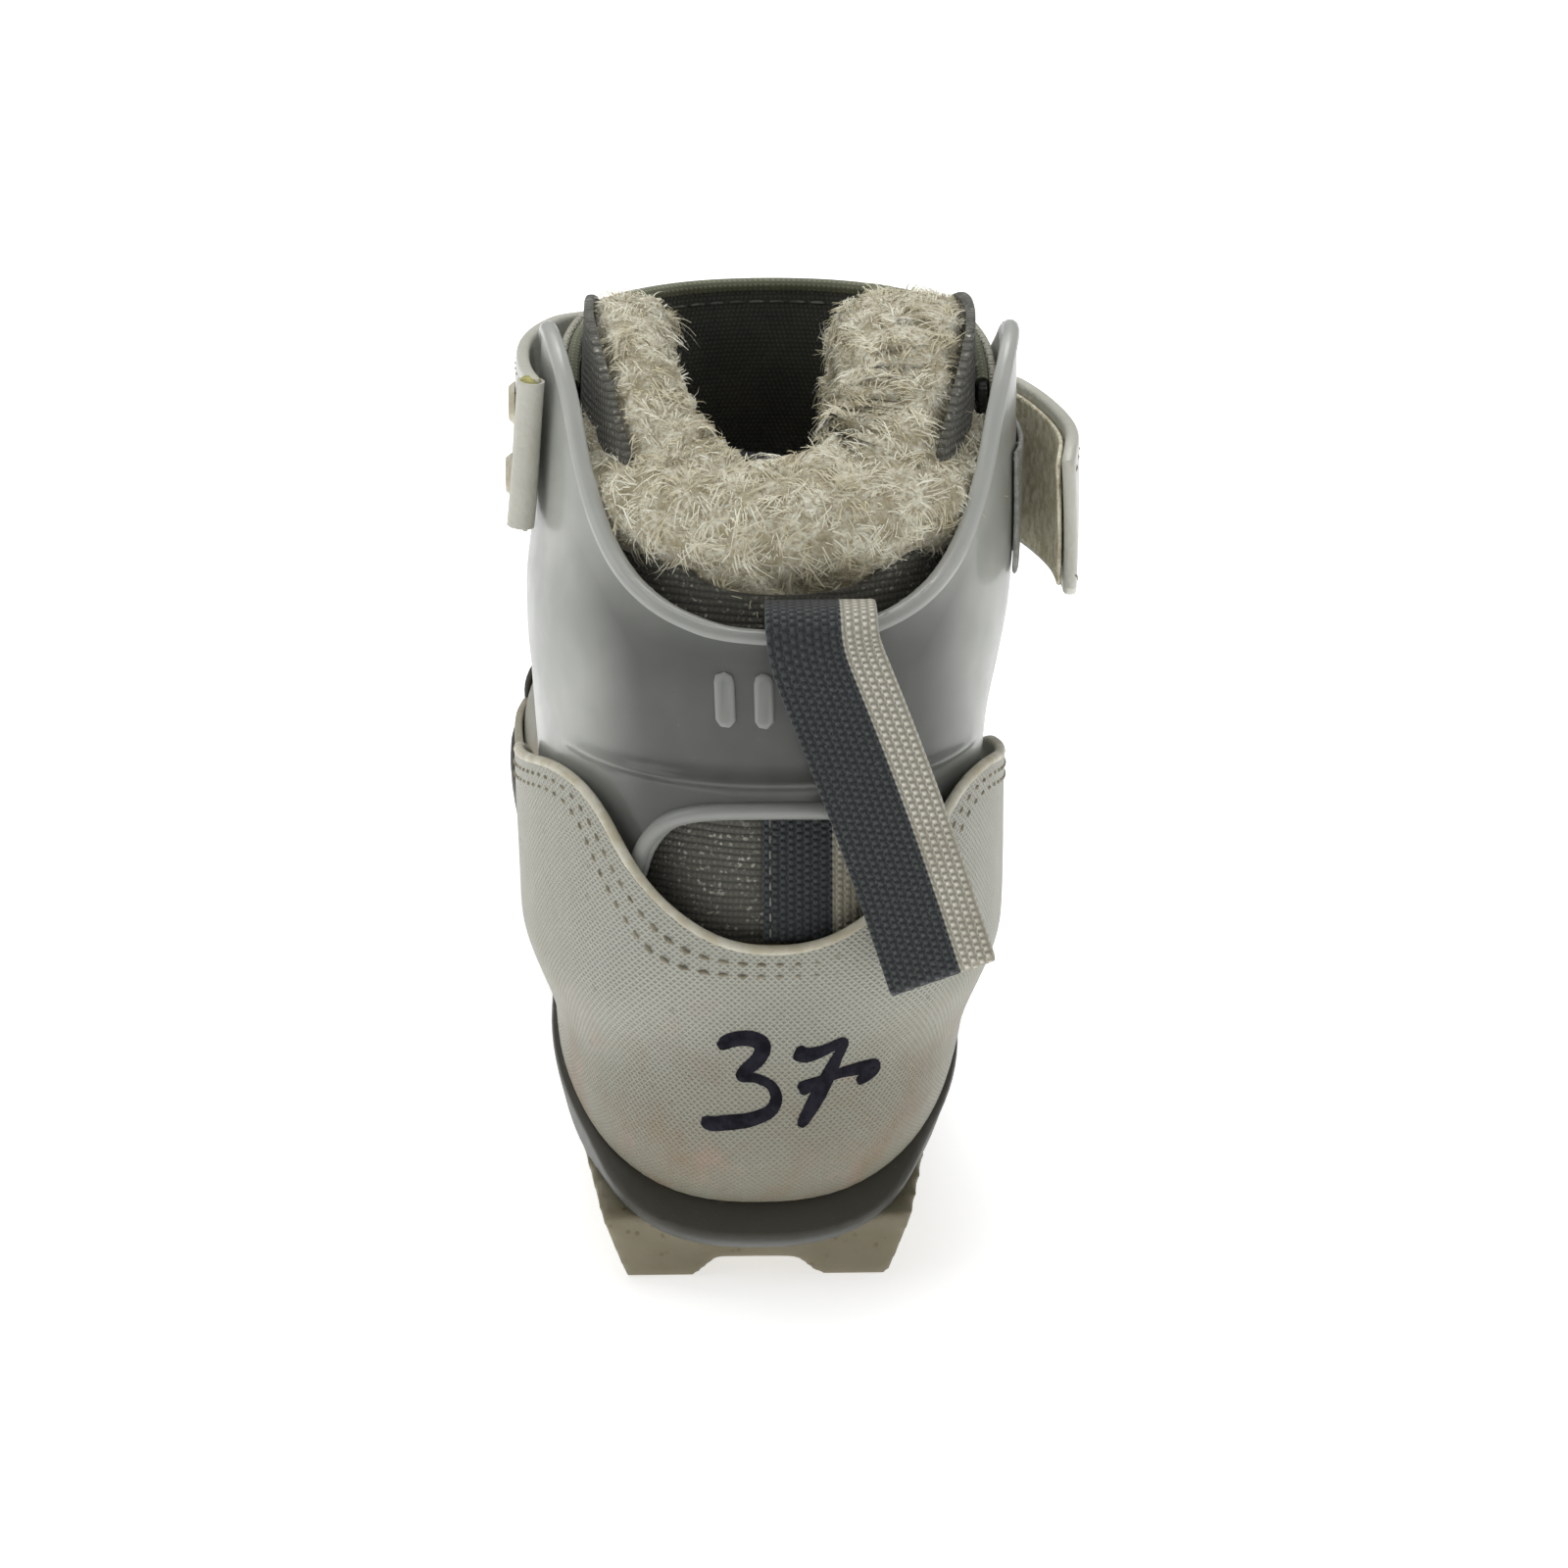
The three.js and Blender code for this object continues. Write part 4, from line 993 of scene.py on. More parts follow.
cuff_side = outline([*cuff_rim, *cuff_front, *arc(EAR_R, 10, -170, 30), *cuff_arch])
collar_top = curve([(-10, 116), (12, 117), (20, 124), (28, 134), (38, 146), (50, 152.5), (64, 153),
                    (74, 148)], 50)
shield_top = curve([(52, 139.5), (56, 142), (64, 145), (80, 147.5), (104, 147.5)], 40)
shield_side = outline([*shield_top, (125, 140), (125, 60), (72, 60), (70, 111), (52, 114)])
cover_side = outline([(84, 78), (112, 66), (150, 50), (190, 38), (206, 40), (210, 60), (150, 120), (96, 120)])
vamp_line = [(150, 0), (150, 30), (138, 48), (120, 60), (110, 110)]
vamp_side = outline([*vamp_line, (FAR, 110), (FAR, -FAR), (150, -FAR)])
quarter_side = outline([*[(y - 1, z) for y, z in vamp_line], (-60, 110), (-60, -FAR), (149, -FAR)])
toe_side = outline([(226, 0), (224, 34), (232, 60), (FAR, FAR), (FAR, -FAR)])


above_band = above([(y, z + GAP) for y, z in band_top])


def floor_line(rise):
    back = RINGS[8:, :2] + [0, rise]
    return [(-4.0, back[0][1]), *[tuple(p) for p in back[1:]]]


def slab(p, centre=STRAP_CENTRE):
    """Signed height over the middle of the tilted strap."""
    return (p[:, 0] - centre[0]) * math.sin(STRAP_TILT) + (p[:, 2] - centre[2]) * math.cos(STRAP_TILT)


# ---- offsets from the last ----
def flat(amount):
    def height(p):
        return np.full(len(p), float(amount))

    return height


def cuff_inner(p):
    return (
        EAR_OUT
        + (BEHIND_OUT - EAR_OUT) * step(from_pivot(p), EAR_R + 1, 36)
        + (WING_OUT - BEHIND_OUT) * step(p[:, 2], 88, 110)
    )


def cuff_outer(p):
    behind = 1 - step(p[:, 1], 16, 30)
    rib = np.exp(-((p[:, 2] - 88.6) / 0.9) ** 2) * 0.8
    recess = (1 - step(p[:, 2], 87.2, 88.2)) * 0.8
    return cuff_inner(p) + CUFF_WALL + (rib - recess) * behind


def sole_band_outer(p):
    corner = np.exp(-((p[:, 1] - 10) ** 2 + (p[:, 2] - 16) ** 2) / 60)
    under = 1 - step(p[:, 2], 12, 24)
    return GAP + BAND_WALL + UNDERFOOT_WALL * under + HEEL_CORNER_WALL * corner


def counter_inner(p):
    return GAP + (EAR_SPACE - GAP) * step(p[:, 2], 36, 54) * (1 - step(from_pivot(p), 41, 52))


def counter_outer(p):
    return counter_inner(p) + COUNTER_WALL


def band_inner(p):
    return STRAP_IN - (STRAP_IN - WING_OUT) * step(p[:, 1], 76, 88)


def band_outer(p):
    return band_inner(p) + STRAP_WALL


def part_of_last(first, last, *values, fine=1.0):
    """The stretch of the last between two rings where every value is positive."""
    grid = Grid(first, last, int((last - first) * 9 * fine) + 2, int(130 * fine))
    patch = Patch(grid.data, grid.faces)
    for value in values:
        patch.cut(value(patch.data[:, :3]))
    return patch


def lines_at(patch, value, levels):
    """Lines drawn on the patch where value equals each level."""
    out = []
    for level in levels:
        out += patch.lines(patch.cut(value(patch.data[:, :3]) - level, both=True))
    return [line for line in out if len(line) > 3]


def lifted(line, height):
    """A line of data rows moved out along its own normals."""
    raised = line.copy()
    amount = height(line[:, :3]) if callable(height) else height
    raised[:, :3] += line[:, 3:6] * np.reshape(amount, (-1, 1))
    return raised


def edge_roll(name, line, height, radius, material, flatten=1.0, pitch=1.2):
    path = resample(smoothed(lifted(line, height), 4), pitch)
    return tube(name, path, radius, material, sides=10, flat=flatten)


def joined(name, parts):
    """One object out of several, with their materials."""
    bpy.ops.object.select_all(action="DESELECT")
    for part in parts:
        part.select_set(True)
    bpy.context.view_layer.objects.active = parts[0]
    bpy.ops.object.join()
    parts[0].name = name
    return parts[0]


def copy_of_nodes(name, *nodes):
    """The CAD meshes of these nodes, copied into one new object."""
    bm = bmesh.new()
    for node in nodes:
        source = frame["nodes"][node]
        bm.from_mesh(source.data)
    mesh = bpy.data.meshes.new(name)
    bm.to_mesh(mesh)
    bm.free()
    return added(name, mesh)


def remeshed(obj, voxel, relax=3):
    change = obj.modifiers.new("Remesh", "REMESH")
    change.mode = "VOXEL"
    change.voxel_size = voxel * MM
    ease = obj.modifiers.new("Smooth", "SMOOTH")
    ease.iterations = relax
    applied(obj)
    return obj


def puffed(obj, pressure=4.0, cap=2.0, frames=20):
    """Swells a closed cloth skin under pressure, letting no point move further than cap millimetres."""
    rest = np.array([v.co for v in obj.data.vertices])
    cloth = obj.modifiers.new("Cloth", "CLOTH")
    cloth.settings.use_pressure = True
    cloth.settings.uniform_pressure_force = pressure
    cloth.settings.effector_weights.gravity = 0
    cloth.settings.quality = 4
    cloth.collision_settings.use_collision = False
    scene = bpy.context.scene
    for number in range(1, frames + 1):
        scene.frame_set(number)
    graph = bpy.context.evaluated_depsgraph_get()
    moved = np.array([v.co for v in obj.evaluated_get(graph).data.vertices])
    obj.modifiers.clear()
    scene.frame_set(1)
    shift = moved - rest
    far = np.linalg.norm(shift, axis=1, keepdims=True)
    shift *= np.minimum(1, cap * MM / np.maximum(far, 1e-9))
    reshaped(obj.data, rest + shift)
    return obj


def finished(obj, material, smooth=True):
    obj.data.materials.clear()
    obj.data.materials.append(material)
    obj.data.polygons.foreach_set("use_smooth", [smooth] * len(obj.data.polygons))
    return obj


# ---- the sole ----
def make_sole():
    sole = remeshed(copy_of_nodes("tread", "outsole"), 0.9, relax=2)
    finished(sole, SOLE)
    settle(sole, "foot", "outsole_rubber", "outsole")
    patch = part_of_last(6, LAST_RING, below(band_top))
    band = shell("sole_band", patch, flat(GAP), sole_band_outer, BAND, rounding=1.1)
    settle(band, "foot", "band_rubber", "midsole_band")


# ---- the heel counter and its size number ----
def make_counter():
    top = below(counter_top)
    rim_line = part_of_last(3, 15, above_band)

    def lines(levels):
        return stretches(lines_at(rim_line, top, levels), lambda p: p[:, 1] < 103)

    def middle(p):
        return counter_inner(p) + COUNTER_WALL * 0.55

    edge = lines([0.35])
    rows = lines([2.3, 4.2])
    patch = part_of_last(3, 15, top, above_band)
    wrap = shell("counter_wrap", patch, counter_inner, counter_outer, WHITE, rounding=0.6)
    settle(wrap, "foot", "leatherette", "heel_counter")
    for n, line in enumerate(edge):
        settle(edge_roll(f"counter_binding_{n}", line, middle, 0.9, RIM_ROLL), "foot", "leatherette")
    sewing = stitches("counter_stitches", rows, counter_outer, THREAD, pitch=2.7, length=1.9, thick=0.34)
    settle(sewing, "foot", "leatherette")
    write_number(wrap)


# The pen strokes of the handwritten size, as seen from behind: x and z in millimetres.
PEN_STROKES = [
    [(-5.4, 44.2), (-3.2, 45.6), (-0.2, 45.9), (1.6, 44.8), (1.0, 42.6), (-1.2, 40.4), (-1.6, 39.4),
     (0.6, 39.2), (3.0, 37.9), (3.8, 35.6), (2.6, 33.4), (-0.6, 32.0), (-4.0, 31.4), (-6.4, 31.0),
     (-8.2, 31.3)],
    [(6.8, 43.7), (8.6, 42.9), (11.4, 43.4), (14.6, 44.4), (13.2, 41.2), (11.4, 37.6), (9.6, 34.2),
     (7.6, 30.6)],
    [(7.4, 37.0), (10.6, 38.2), (14.6, 39.2), (19.4, 39.1), (18.4, 37.8), (16.8, 37.0)],
]
PEN_SHIFT = [-0.9, 1.6]
PEN_WIDTH = 1.35


def write_number(wrap):
    """Pen strokes laid on the counter: flat ribbons of ink that follow its skin."""
    mesh = wrap.data
    tree = BVHTree.FromPolygons([v.co for v in mesh.vertices], [p.vertices for p in mesh.polygons])
    strokes = []
    for n, stroke in enumerate(PEN_STROKES):
        path = curve(stroke, 12 * len(stroke)) + PEN_SHIFT
        rows = []
        for x, z in path:
            start = Vector(row([x, -60, z]))
            hit, normal, _, _ = tree.ray_cast(start, Vector((0, 1, 0)))
            if hit is None:
                continue
            point = (np.array(hit) - SHIFT) / MM
            rows.append([*(point + np.array(normal) * 0.08), *normal])
        rows = np.array(rows)
        reach = np.linspace(0, 1, len(rows))
        ends = np.clip(np.minimum(reach, 1 - reach) * 14 + 0.55, 0, 1)
        wide = PEN_WIDTH * (0.8 + 0.2 * np.sin(reach * 9 + n)) * ends
        strokes.append(tube(f"pen_stroke_{n}", rows, wide, INK, sides=8, flat=0.12))
    settle(joined("size_number", strokes), "foot", "leatherette")


# ---- the cuff ----
def make_cuff():
    patch = part_of_last(0, 9, cuff_side, fine=1.5)
    for level in (87.2, 87.8, 88.2, 88.6, 89.0, 89.6):
        patch.cut(patch.data[:, 2] - level, both=True)
    body = shell("cuff_shell", patch, cuff_inner, cuff_outer, MILKY, rounding=0.9)
    settle(body, "cuff_frame", "cuff_plastic", "cuff")
    whole = part_of_last(0, 9, fine=1.2)
    along = lines_at(whole, cuff_side, [1.1])
    rim = []
    for n, line in enumerate(along):
        rim.append(edge_roll(f"cuff_lip_{n}", line, lambda p: cuff_inner(p) + CUFF_WALL * 0.6, 1.45, MILKY))
    settle(joined("cuff_lip", rim), "cuff_frame", "cuff_plastic")
    bars = []
    for n, x in enumerate((-5.2, 0.0, 5.2)):
        patch = part_of_last(2, 7, fine=2.0)
        p = patch.data[:, :3]
        tall = np.clip(p[:, 2], 98.5, 104.5)
        inside = 1.35 - np.hypot(p[:, 0] - x - 1.5, p[:, 2] - tall)
        inside[p[:, 1] > 40] = -1
        patch.cut(inside)
        bars.append(shell(f"bar_{n}", patch, lambda q: cuff_outer(q) - 0.3, lambda q: cuff_outer(q) + 0.55,
                          MILKY, 0.5))
    settle(joined("cuff_bars", bars), "cuff_frame", "cuff_plastic")


# ---- the stretch ankle sleeve ----
FOOT_TO_SHAFT = (("foot", "cuff_frame"), PIVOT + [0, 0.7, -1.9], PIVOT + [0, -8.9, 24.4])


def sleeve_outer(p):
    """The knit lies just under the last's surface, and deeper where the upper covers its lower edge."""
    under = foot_side(p)
    return -0.35 - 2.0 * step(under, -1.5, 0.8)


def make_sleeve():
    low = outline([(-60, 44), (30, 38), (60, 38), (96, 60), (120, 80), (150, 200), (-60, 200)])
    front = outline([*collar_top, (74, 130), (74, 108), (110, 104), (125, 96), (125, -50), (-60, -50),
                     (-60, 116)])
    patch = part_of_last(0, 11, low, front)
    sleeve = shell("ankle_sleeve", patch, lambda p: sleeve_outer(p) - 1.5, sleeve_outer, KNIT, rounding=0.5)
    settle(sleeve, None, "shimmer_knit", "collar", blend=FOOT_TO_SHAFT)


# ---- fleece ----
def make_fleece():
    """The padded collar: arms and rear roll swelled as one cushion, then covered with matted strands."""
    pad = remeshed(copy_of_nodes("fleece_collar", "collar_lining", "fleece_roll"), 2.2, relax=4)
    puffed(pad, pressure=3.0, cap=1.0)
    rng = np.random.default_rng(7)
    mesh = pad.data
    co = np.array([v.co for v in mesh.vertices])
    normal = np.array([v.normal for v in mesh.vertices])
    local = (co - SHIFT) / MM
    lumps = sum(
        np.sin(local @ rng.normal(0, 1, 3) * f + rng.uniform(0, 6.28))
        for f in (0.35, 0.5, 0.7, 0.9, 1.2, 1.5)
    )
    shown = step(local[:, 2], 96, 110)
    inward = step(-(normal * outward_from_shaft(local)).sum(axis=1), -0.2, 0.6)
    right_arm = step(local[:, 0], 8, 16) * step(local[:, 1], 16, 36) * step(local[:, 2], 104, 122)
    thick = shown * (1.1 + 2.2 * inward + lumps * 0.3) + inward * (7.0 * right_arm + 1.5 * shown)
    normal[:, 2] *= 1 - 0.85 * step(local[:, 2], 126, 140)
    co += normal * thick[:, None] * MM
    rear = 1 - step(local[:, 1], 22, 40)
    co[:, 2] += 5.0 * MM * rear * step(local[:, 2], 92, 104)
    behind = rear * step(4 - local[:, 1], 0, 8)
    co[:, 1] += 2.5 * MM * behind * shown
    reshaped(mesh, co)
    finished(pad, FLEECE)
    strands = make_strands("fleece_pile", pad, rng, 20000, lambda p: step(p[:, 2], 94, 106), 5.0)
    settle(strands, "cuff_frame", "fleece")
    settle(pad, "cuff_frame", "fleece", "collar_lining", "fleece_roll")


def outward_from_shaft(local):
    """The level direction from the shaft's middle line to each point."""
    away = local - [4.0, 55.0, 0.0]
    away[:, 2] = 0
    return away / np.maximum(np.linalg.norm(away, axis=1, keepdims=True), 1e-6)


def make_strands(name, pad, rng, many, density, length):
    """Short flat ribbons of pile that grow out of the pad and mat together in clumps."""
    mesh = pad.data
    mesh.calc_loop_triangles()
    co = millimetres(mesh)
    corners = np.array([t.vertices for t in mesh.loop_triangles])
    a, b, c = co[corners[:, 0]], co[corners[:, 1]], co[corners[:, 2]]
    across = np.cross(b - a, c - a)
    area = np.linalg.norm(across, axis=1)
    middle = (a + b + c) / 3
    weight = area * density(middle)
    pick = rng.choice(len(corners), many, p=weight / weight.sum())
    r1, r2 = rng.random((2, many, 1))
    over = r1 + r2 > 1
    r1, r2 = np.where(over, 1 - r1, r1), np.where(over, 1 - r2, r2)
    root = a[pick] + (b - a)[pick] * r1 + (c - a)[pick] * r2
    normal = across[pick] / area[pick, None]
    sweep = np.stack([
        np.sin(root @ [0.9, 0.3, 0.5]) + np.sin(root @ [0.2, 0.8, -0.7] + 2),
        np.sin(root @ [0.4, -0.9, 0.6] + 1) + np.sin(root @ [0.7, 0.1, 0.9]),
        np.sin(root @ [-0.5, 0.6, 0.8] + 4) - 0.7,
    ], axis=1)
    lean = sweep * 0.75 + rng.normal(0, 0.3, (many, 3))
    lean -= normal * (lean * normal).sum(1, keepdims=True)
    size = length * rng.uniform(0.5, 1.15, (many, 1))
    side = np.cross(normal, lean)
    side /= np.maximum(np.linalg.norm(side, axis=1, keepdims=True), 1e-6)
    width = rng.uniform(0.07, 0.14, (many, 1)) * math.sqrt(length / 3.4)
    verts = []
    for share in (0.0, 0.35, 0.7, 1.0):
        rise = normal * (0.62 * share - 0.42 * share**2)
        centre = root + size * (rise + lean * 0.55 * share**1.4) - normal * 0.25
        wide = width * (1 - 0.65 * share)
        verts += [centre - side * wide, centre + side * wide]
    verts = np.stack(verts, axis=1).reshape(-1, 3)
    faces = []
    for n in range(many):
        s = n * 8
        for k in (0, 2, 4):
            faces.append([s + k, s + k + 1, s + k + 3, s + k + 2])
    tone = np.repeat(rng.uniform(0, 1, many) ** 0.7, 8)
    return place(name, verts, faces, None, STRAND, smooth=0, values={"tone": tone})


def make_lining():
    """The fleece lining of the foot, one skin from the toe to the ankle."""
    low = above(floor_line(BED_TOP))
    high = outline([(-60, 96), (20, 100), (60, 108), (76, 108), (84, 96), (100, 90), (232, 30), (232, -50),
                    (-60, -50)])

    def opening(p):
        return np.maximum(np.abs(p[:, 0]) - 17, np.maximum(82 - p[:, 1], 47 - p[:, 2]))

    patch = part_of_last(2, TOE_END, low, high, lambda p: 222 - p[:, 1], opening)
    skin = shell("boot_lining", patch, flat(-6.2), flat(-2.9), FLEECE_FLAT, rounding=1.2)
    settle(skin, None, "dark_lining", "foot_lining", blend=FOOT_TO_SHAFT)


def make_tongue():
    pad = remeshed(copy_of_nodes("tongue_pad", "tongue"), 1.8, relax=4)
    puffed(pad, pressure=4.0, cap=1.0)
    mesh = pad.data
    local = millimetres(mesh)
    top = step(local[:, 2], 98, 114)
    local[:, 0] = local[:, 0] * (1 - 0.35 * top) - 4.5 * top
    reshaped(mesh, row(local))
    finished(pad, TONGUE_CLOTH)
    settle(pad, "foot", "shimmer_knit", "tongue")
    bed = remeshed(copy_of_nodes("insole_pad", "insole"), 2.0, relax=3)
    puffed(bed, pressure=2.0, cap=0.6)
    finished(bed, FELT)
    settle(bed, "foot", "insole_felt", "insole")


# ---- the shield ----
def make_shield():
    patch = part_of_last(0, 9, shield_side, shaft_side)
    lining = shell("shield_inside", patch, flat(GAP), flat(GAP + COVER_WALL), LINING, rounding=0.5)
    settle(lining, "cuff_frame", "dark_lining", "shield_lining")
    patch = part_of_last(0, 9, shield_side, shaft_side)
    skin = 2 * GAP + 2 * COVER_WALL
    outside = shell("shield_outside", patch, flat(2 * GAP + COVER_WALL), flat(skin), COVER, 0.6)
    settle(outside, "cuff_frame", "leatherette", "front_shield")
    whole = part_of_last(0, 9, shaft_side)
    top = below(shield_top)
    rolls = []
    for n, line in enumerate(stretches(lines_at(whole, top, [0.6]), lambda p: p[:, 1] > 54)):
        rolls.append(edge_roll(f"shield_roll_{n}", line, GAP + COVER_WALL * 0.45, 1.15, PIPING))
    settle(joined("shield_piping", rolls), "cuff_frame", "dark_lining")
    rows = stretches(lines_at(whole, top, [3.4]), lambda p: p[:, 1] > 58)
    settle(stitches("shield_stitches", rows, GAP - 0.02, GREY_THREAD, pitch=3.4, length=2.5, thick=0.24),
           "cuff_frame", "dark_lining")
    settle(stitches("shield_stitches_out", rows, skin, THREAD, pitch=3.4, length=2.5, thick=0.24),
           "cuff_frame", "leatherette")


# ---- the strap ----
def in_strap(inset=0):
    """Positive between the strap's edges, each drawn in by inset."""

    def value(p):
        return STRAP_WIDTH / 2 - inset - np.abs(slab(p))

    return value


def ahead_of_ends(p):
    """Positive ahead of the anchored end on the left and of the tail's hinge on the right."""
    return np.where(p[:, 0] < 0, p[:, 1] - ANCHOR_END, p[:, 1] - TAIL_START - GAP)


def make_strap():
    patch = part_of_last(0, 8, in_strap(), ahead_of_ends, fine=1.2)
    band = shell("strap_band", patch, band_inner, band_outer, STRAP, rounding=0.8)
    whole = part_of_last(0, 8, in_strap(), lambda p: ahead_of_ends(p) - 3)
    rows = whole.lines(whole.cut(in_strap(2.4)(whole.data[:, :3]), both=True))
    sewing = stitches("strap_stitches", rows, band_outer, THREAD, pitch=2.9, length=2.1, thick=0.24)
    settle(sewing, "cuff_frame", "strap_leatherette")
    end = part_of_last(0, 8, lambda p: -p[:, 0], in_strap(0.6))
    height = STRAP_IN + STRAP_WALL * 0.5 + 0.6
    fold = []
    for n, line in enumerate(lines_at(end, lambda p: p[:, 1], [ANCHOR_END + 1.2])):
        fold.append(edge_roll(f"strap_fold_{n}", line, height, 2.3, STRAP))
        core = resample(smoothed(lifted(line, height), 4), 1.2)
        tip = core[np.argsort(-core[:, 2])[:2]]
        up = tip[0, :3] - tip[1, :3]
        up /= np.linalg.norm(up)
        plug = np.tile(tip[0], (3, 1))
        plug[:, :3] += up * np.array([[-0.6], [0.05], [0.5]])
        fold.append(tube(f"strap_foam_{n}", plug, [1.75, 1.75, 1.4], FOAM, sides=16))
    settle(joined("strap_end_fold", fold), "cuff_frame", "strap_leatherette")
    settle(band, "cuff_frame", "strap_leatherette", "strap")
    patch = part_of_last(0, 8, in_strap(3), lambda p: p[:, 0],
                         lambda p: np.minimum(p[:, 1] - 40, 60 - p[:, 1]))
    low = WING_OUT + CUFF_WALL + GAP
    hooks = shell("hook_tape_patch", patch, flat(low), flat(low + TOUCH_TAPE_WALL), HOOK_SIDE, rounding=0.3)
    settle(hooks, "cuff_frame", "touch_tape", "hook_patch")


def make_tail():
    """The strap's free end, swung open from the wing, with looped touch tape on its inner face."""
    lift = STRAP_IN + TOUCH_TAPE_WALL
    hinge = np.array([HINGE_X, TAIL_START, 0.0])
    cos, sin = math.cos(TAIL_SWING), math.sin(TAIL_SWING)
    spin = np.array([[cos, -sin, 0], [sin, cos, 0], [0, 0, 1]])

    def sideways(p):
        return np.minimum(p[:, 0], np.minimum(p[:, 1] - TAIL_END, TAIL_START - p[:, 1]))

    def tip(p):
        return in_strap()(p) - np.maximum(TAIL_END + 6 - p[:, 1], 0) ** 2 / 14

    def swung(obj):
        turned = (millimetres(obj.data) - hinge) @ spin.T + hinge
        reshaped(obj.data, row(turned))
        return obj

    patch = part_of_last(0, 8, tip, sideways, fine=1.2)
    start = lift + TOUCH_TAPE_WALL + GAP
    tail = shell("tail_band", patch, flat(start), flat(start + STRAP_WALL), STRAP, rounding=0.8)
    settle(swung(tail), "strap_end", "strap_leatherette", "strap_tail")
    whole = part_of_last(0, 8, tip, sideways)
    rows = whole.lines(whole.cut(tip(whole.data[:, :3]) - 2.4, both=True))
    sewing = stitches("tail_stitches", rows, start + STRAP_WALL, THREAD, pitch=2.9, length=2.1, thick=0.24)
    settle(swung(sewing), "strap_end", "strap_leatherette")
    patch = part_of_last(0, 8, lambda p: tip(p) - 1.5, lambda p: sideways(p) - 0.5, fine=1.2)
    loops = shell("loop_tape_patch", patch, flat(lift + 0.1), flat(lift + TOUCH_TAPE_WALL), LOOP_SIDE,
                  rounding=0.4)
    fuzz = make_strands("loop_fuzz", loops, np.random.default_rng(11), 1500, lambda p: np.ones(len(p)), 1.3)
    settle(swung(loops), "strap_end", "touch_tape", "loop_patch")
    settle(swung(fuzz), "strap_end", "touch_tape")


# ---- webbing ----
def ribbon(name, centre, normal, across, width, wall, material):
    """A woven tape along a centre line: its section has rounded edges, and its UV runs across and along."""
    half, thick = width / 2, wall / 2
    section = [(-half, 0), (-half + 0.15, thick * 0.8), (-half + 0.6, thick)]
    section += [(x, thick) for x in np.linspace(-half + 1.5, half - 1.5, 9)]
    section += [(half - 0.6, thick), (half - 0.15, thick * 0.8), (half, 0)]
    section += [(x, -z) for x, z in section[-2:0:-1]]
    reach = np.append(0, np.cumsum(np.linalg.norm(np.diff(centre, axis=0), axis=1)))
    verts, uv = [], []
    for p, n, s, r in zip(centre, normal, across, reach):
        for x, z in section:
            verts.append(p + s * x + n * z)
            uv.append((x, r + (0.7 if z < 0 else 0)))
    many = len(section)
    faces = strip_faces(len(centre), many) + end_faces(len(centre), many)
    return facing_out(place(name, np.array(verts), faces, np.array(uv), material, smooth=50))


def make_heel_tape():
    def behind(p):
        return 30 - p[:, 1]

    patch = part_of_last(1, 9, lambda p: TAPE_WIDTH / 2 - 1.0 - np.abs(p[:, 0] - HEEL_TAPE_X), behind,
                         lambda p: np.minimum(p[:, 2] - SPLIT_Z - 2 * GAP, 109 - p[:, 2]), fine=1.5)
    patch.data[:, 6] = patch.data[:, 0] - HEEL_TAPE_X
    strip = shell("heel_strip", patch, flat(GAP / 2), flat(GAP / 2 + HEEL_TAPE_WALL), WEBBING, rounding=0.35)
    settle(strip, "cuff_frame", "webbing", "heel_tape")
    grid = part_of_last(1, 9, behind, lambda p: np.minimum(p[:, 2] - SPLIT_Z - 1, 108 - p[:, 2]))
    rows = []
    for x in (-6.6, 6.6):
        rows += lines_at(grid, lambda p: p[:, 0] - HEEL_TAPE_X, [x])
    settle(stitches("heel_strip_stitches", rows, GAP / 2 + HEEL_TAPE_WALL, GREY_THREAD, pitch=2.6, length=1.8,
                    thick=0.2), "cuff_frame", "webbing")


def make_loop():
    """The pull loop: one tape that comes over the cuff's rim, hangs down, folds and runs back up."""
    profile = curve([(6.6, -1.2), (4.8, 0.1), (1.0, 0.4), (-2.6, -0.4), (-4.6, -3.6), (-6.4, -16),
                     (-8.2, -30), (-9.6, -46), (-10.6, -57.5), (-10.4, -59.6), (-9.3, -60.0), (-8.6, -58.4),
                     (-7.6, -46), (-5.8, -30), (-4.2, -16), (-2.9, -5.2), (-0.9, -1.5), (2.2, -1.5),
                     (5.2, -2.0)], 110)
    fall = np.clip(-profile[:, 1], 0, LOOP_LENGTH)
    swing = math.radians(20) * step(fall, 0, 9)
    drift = np.append(0, np.cumsum(np.sin((swing[1:] + swing[:-1]) / 2) * np.diff(fall)))
    drop = np.append(0, np.cumsum(np.cos((swing[1:] + swing[:-1]) / 2) * np.diff(profile[:, 1])))
    centre = np.stack([
        10 + drift + np.sin(fall / LOOP_LENGTH * math.pi) * 0.8,
        3.6 + profile[:, 0],
        117 + profile[0, 1] + drop,
    ], axis=1)
    across = np.stack([np.cos(swing), np.zeros(len(swing)), np.sin(swing)], axis=1)
    along = np.gradient(centre, axis=0)
    normal = np.cross(across, along)
    normal /= np.linalg.norm(normal, axis=1, keepdims=True)
    loop = ribbon("loop_tape", centre, normal, across, TAPE_WIDTH, WEBBING_WALL, WEBBING)
    settle(loop, "loop", "webbing", "pull_loop")


# ---- the upper's front ----
def throat(p):
    """Positive outside the laced opening."""
    return np.maximum(np.abs(p[:, 0]) - 19.4, np.maximum(90 - p[:, 1], p[:, 1] - 188))


def front_stitches(name, rows, height, slot, thread=THREAD):
    sewing = stitches(name, rows, height, thread, pitch=2.8, length=2.0, thick=0.24)
    settle(sewing, "foot", slot)


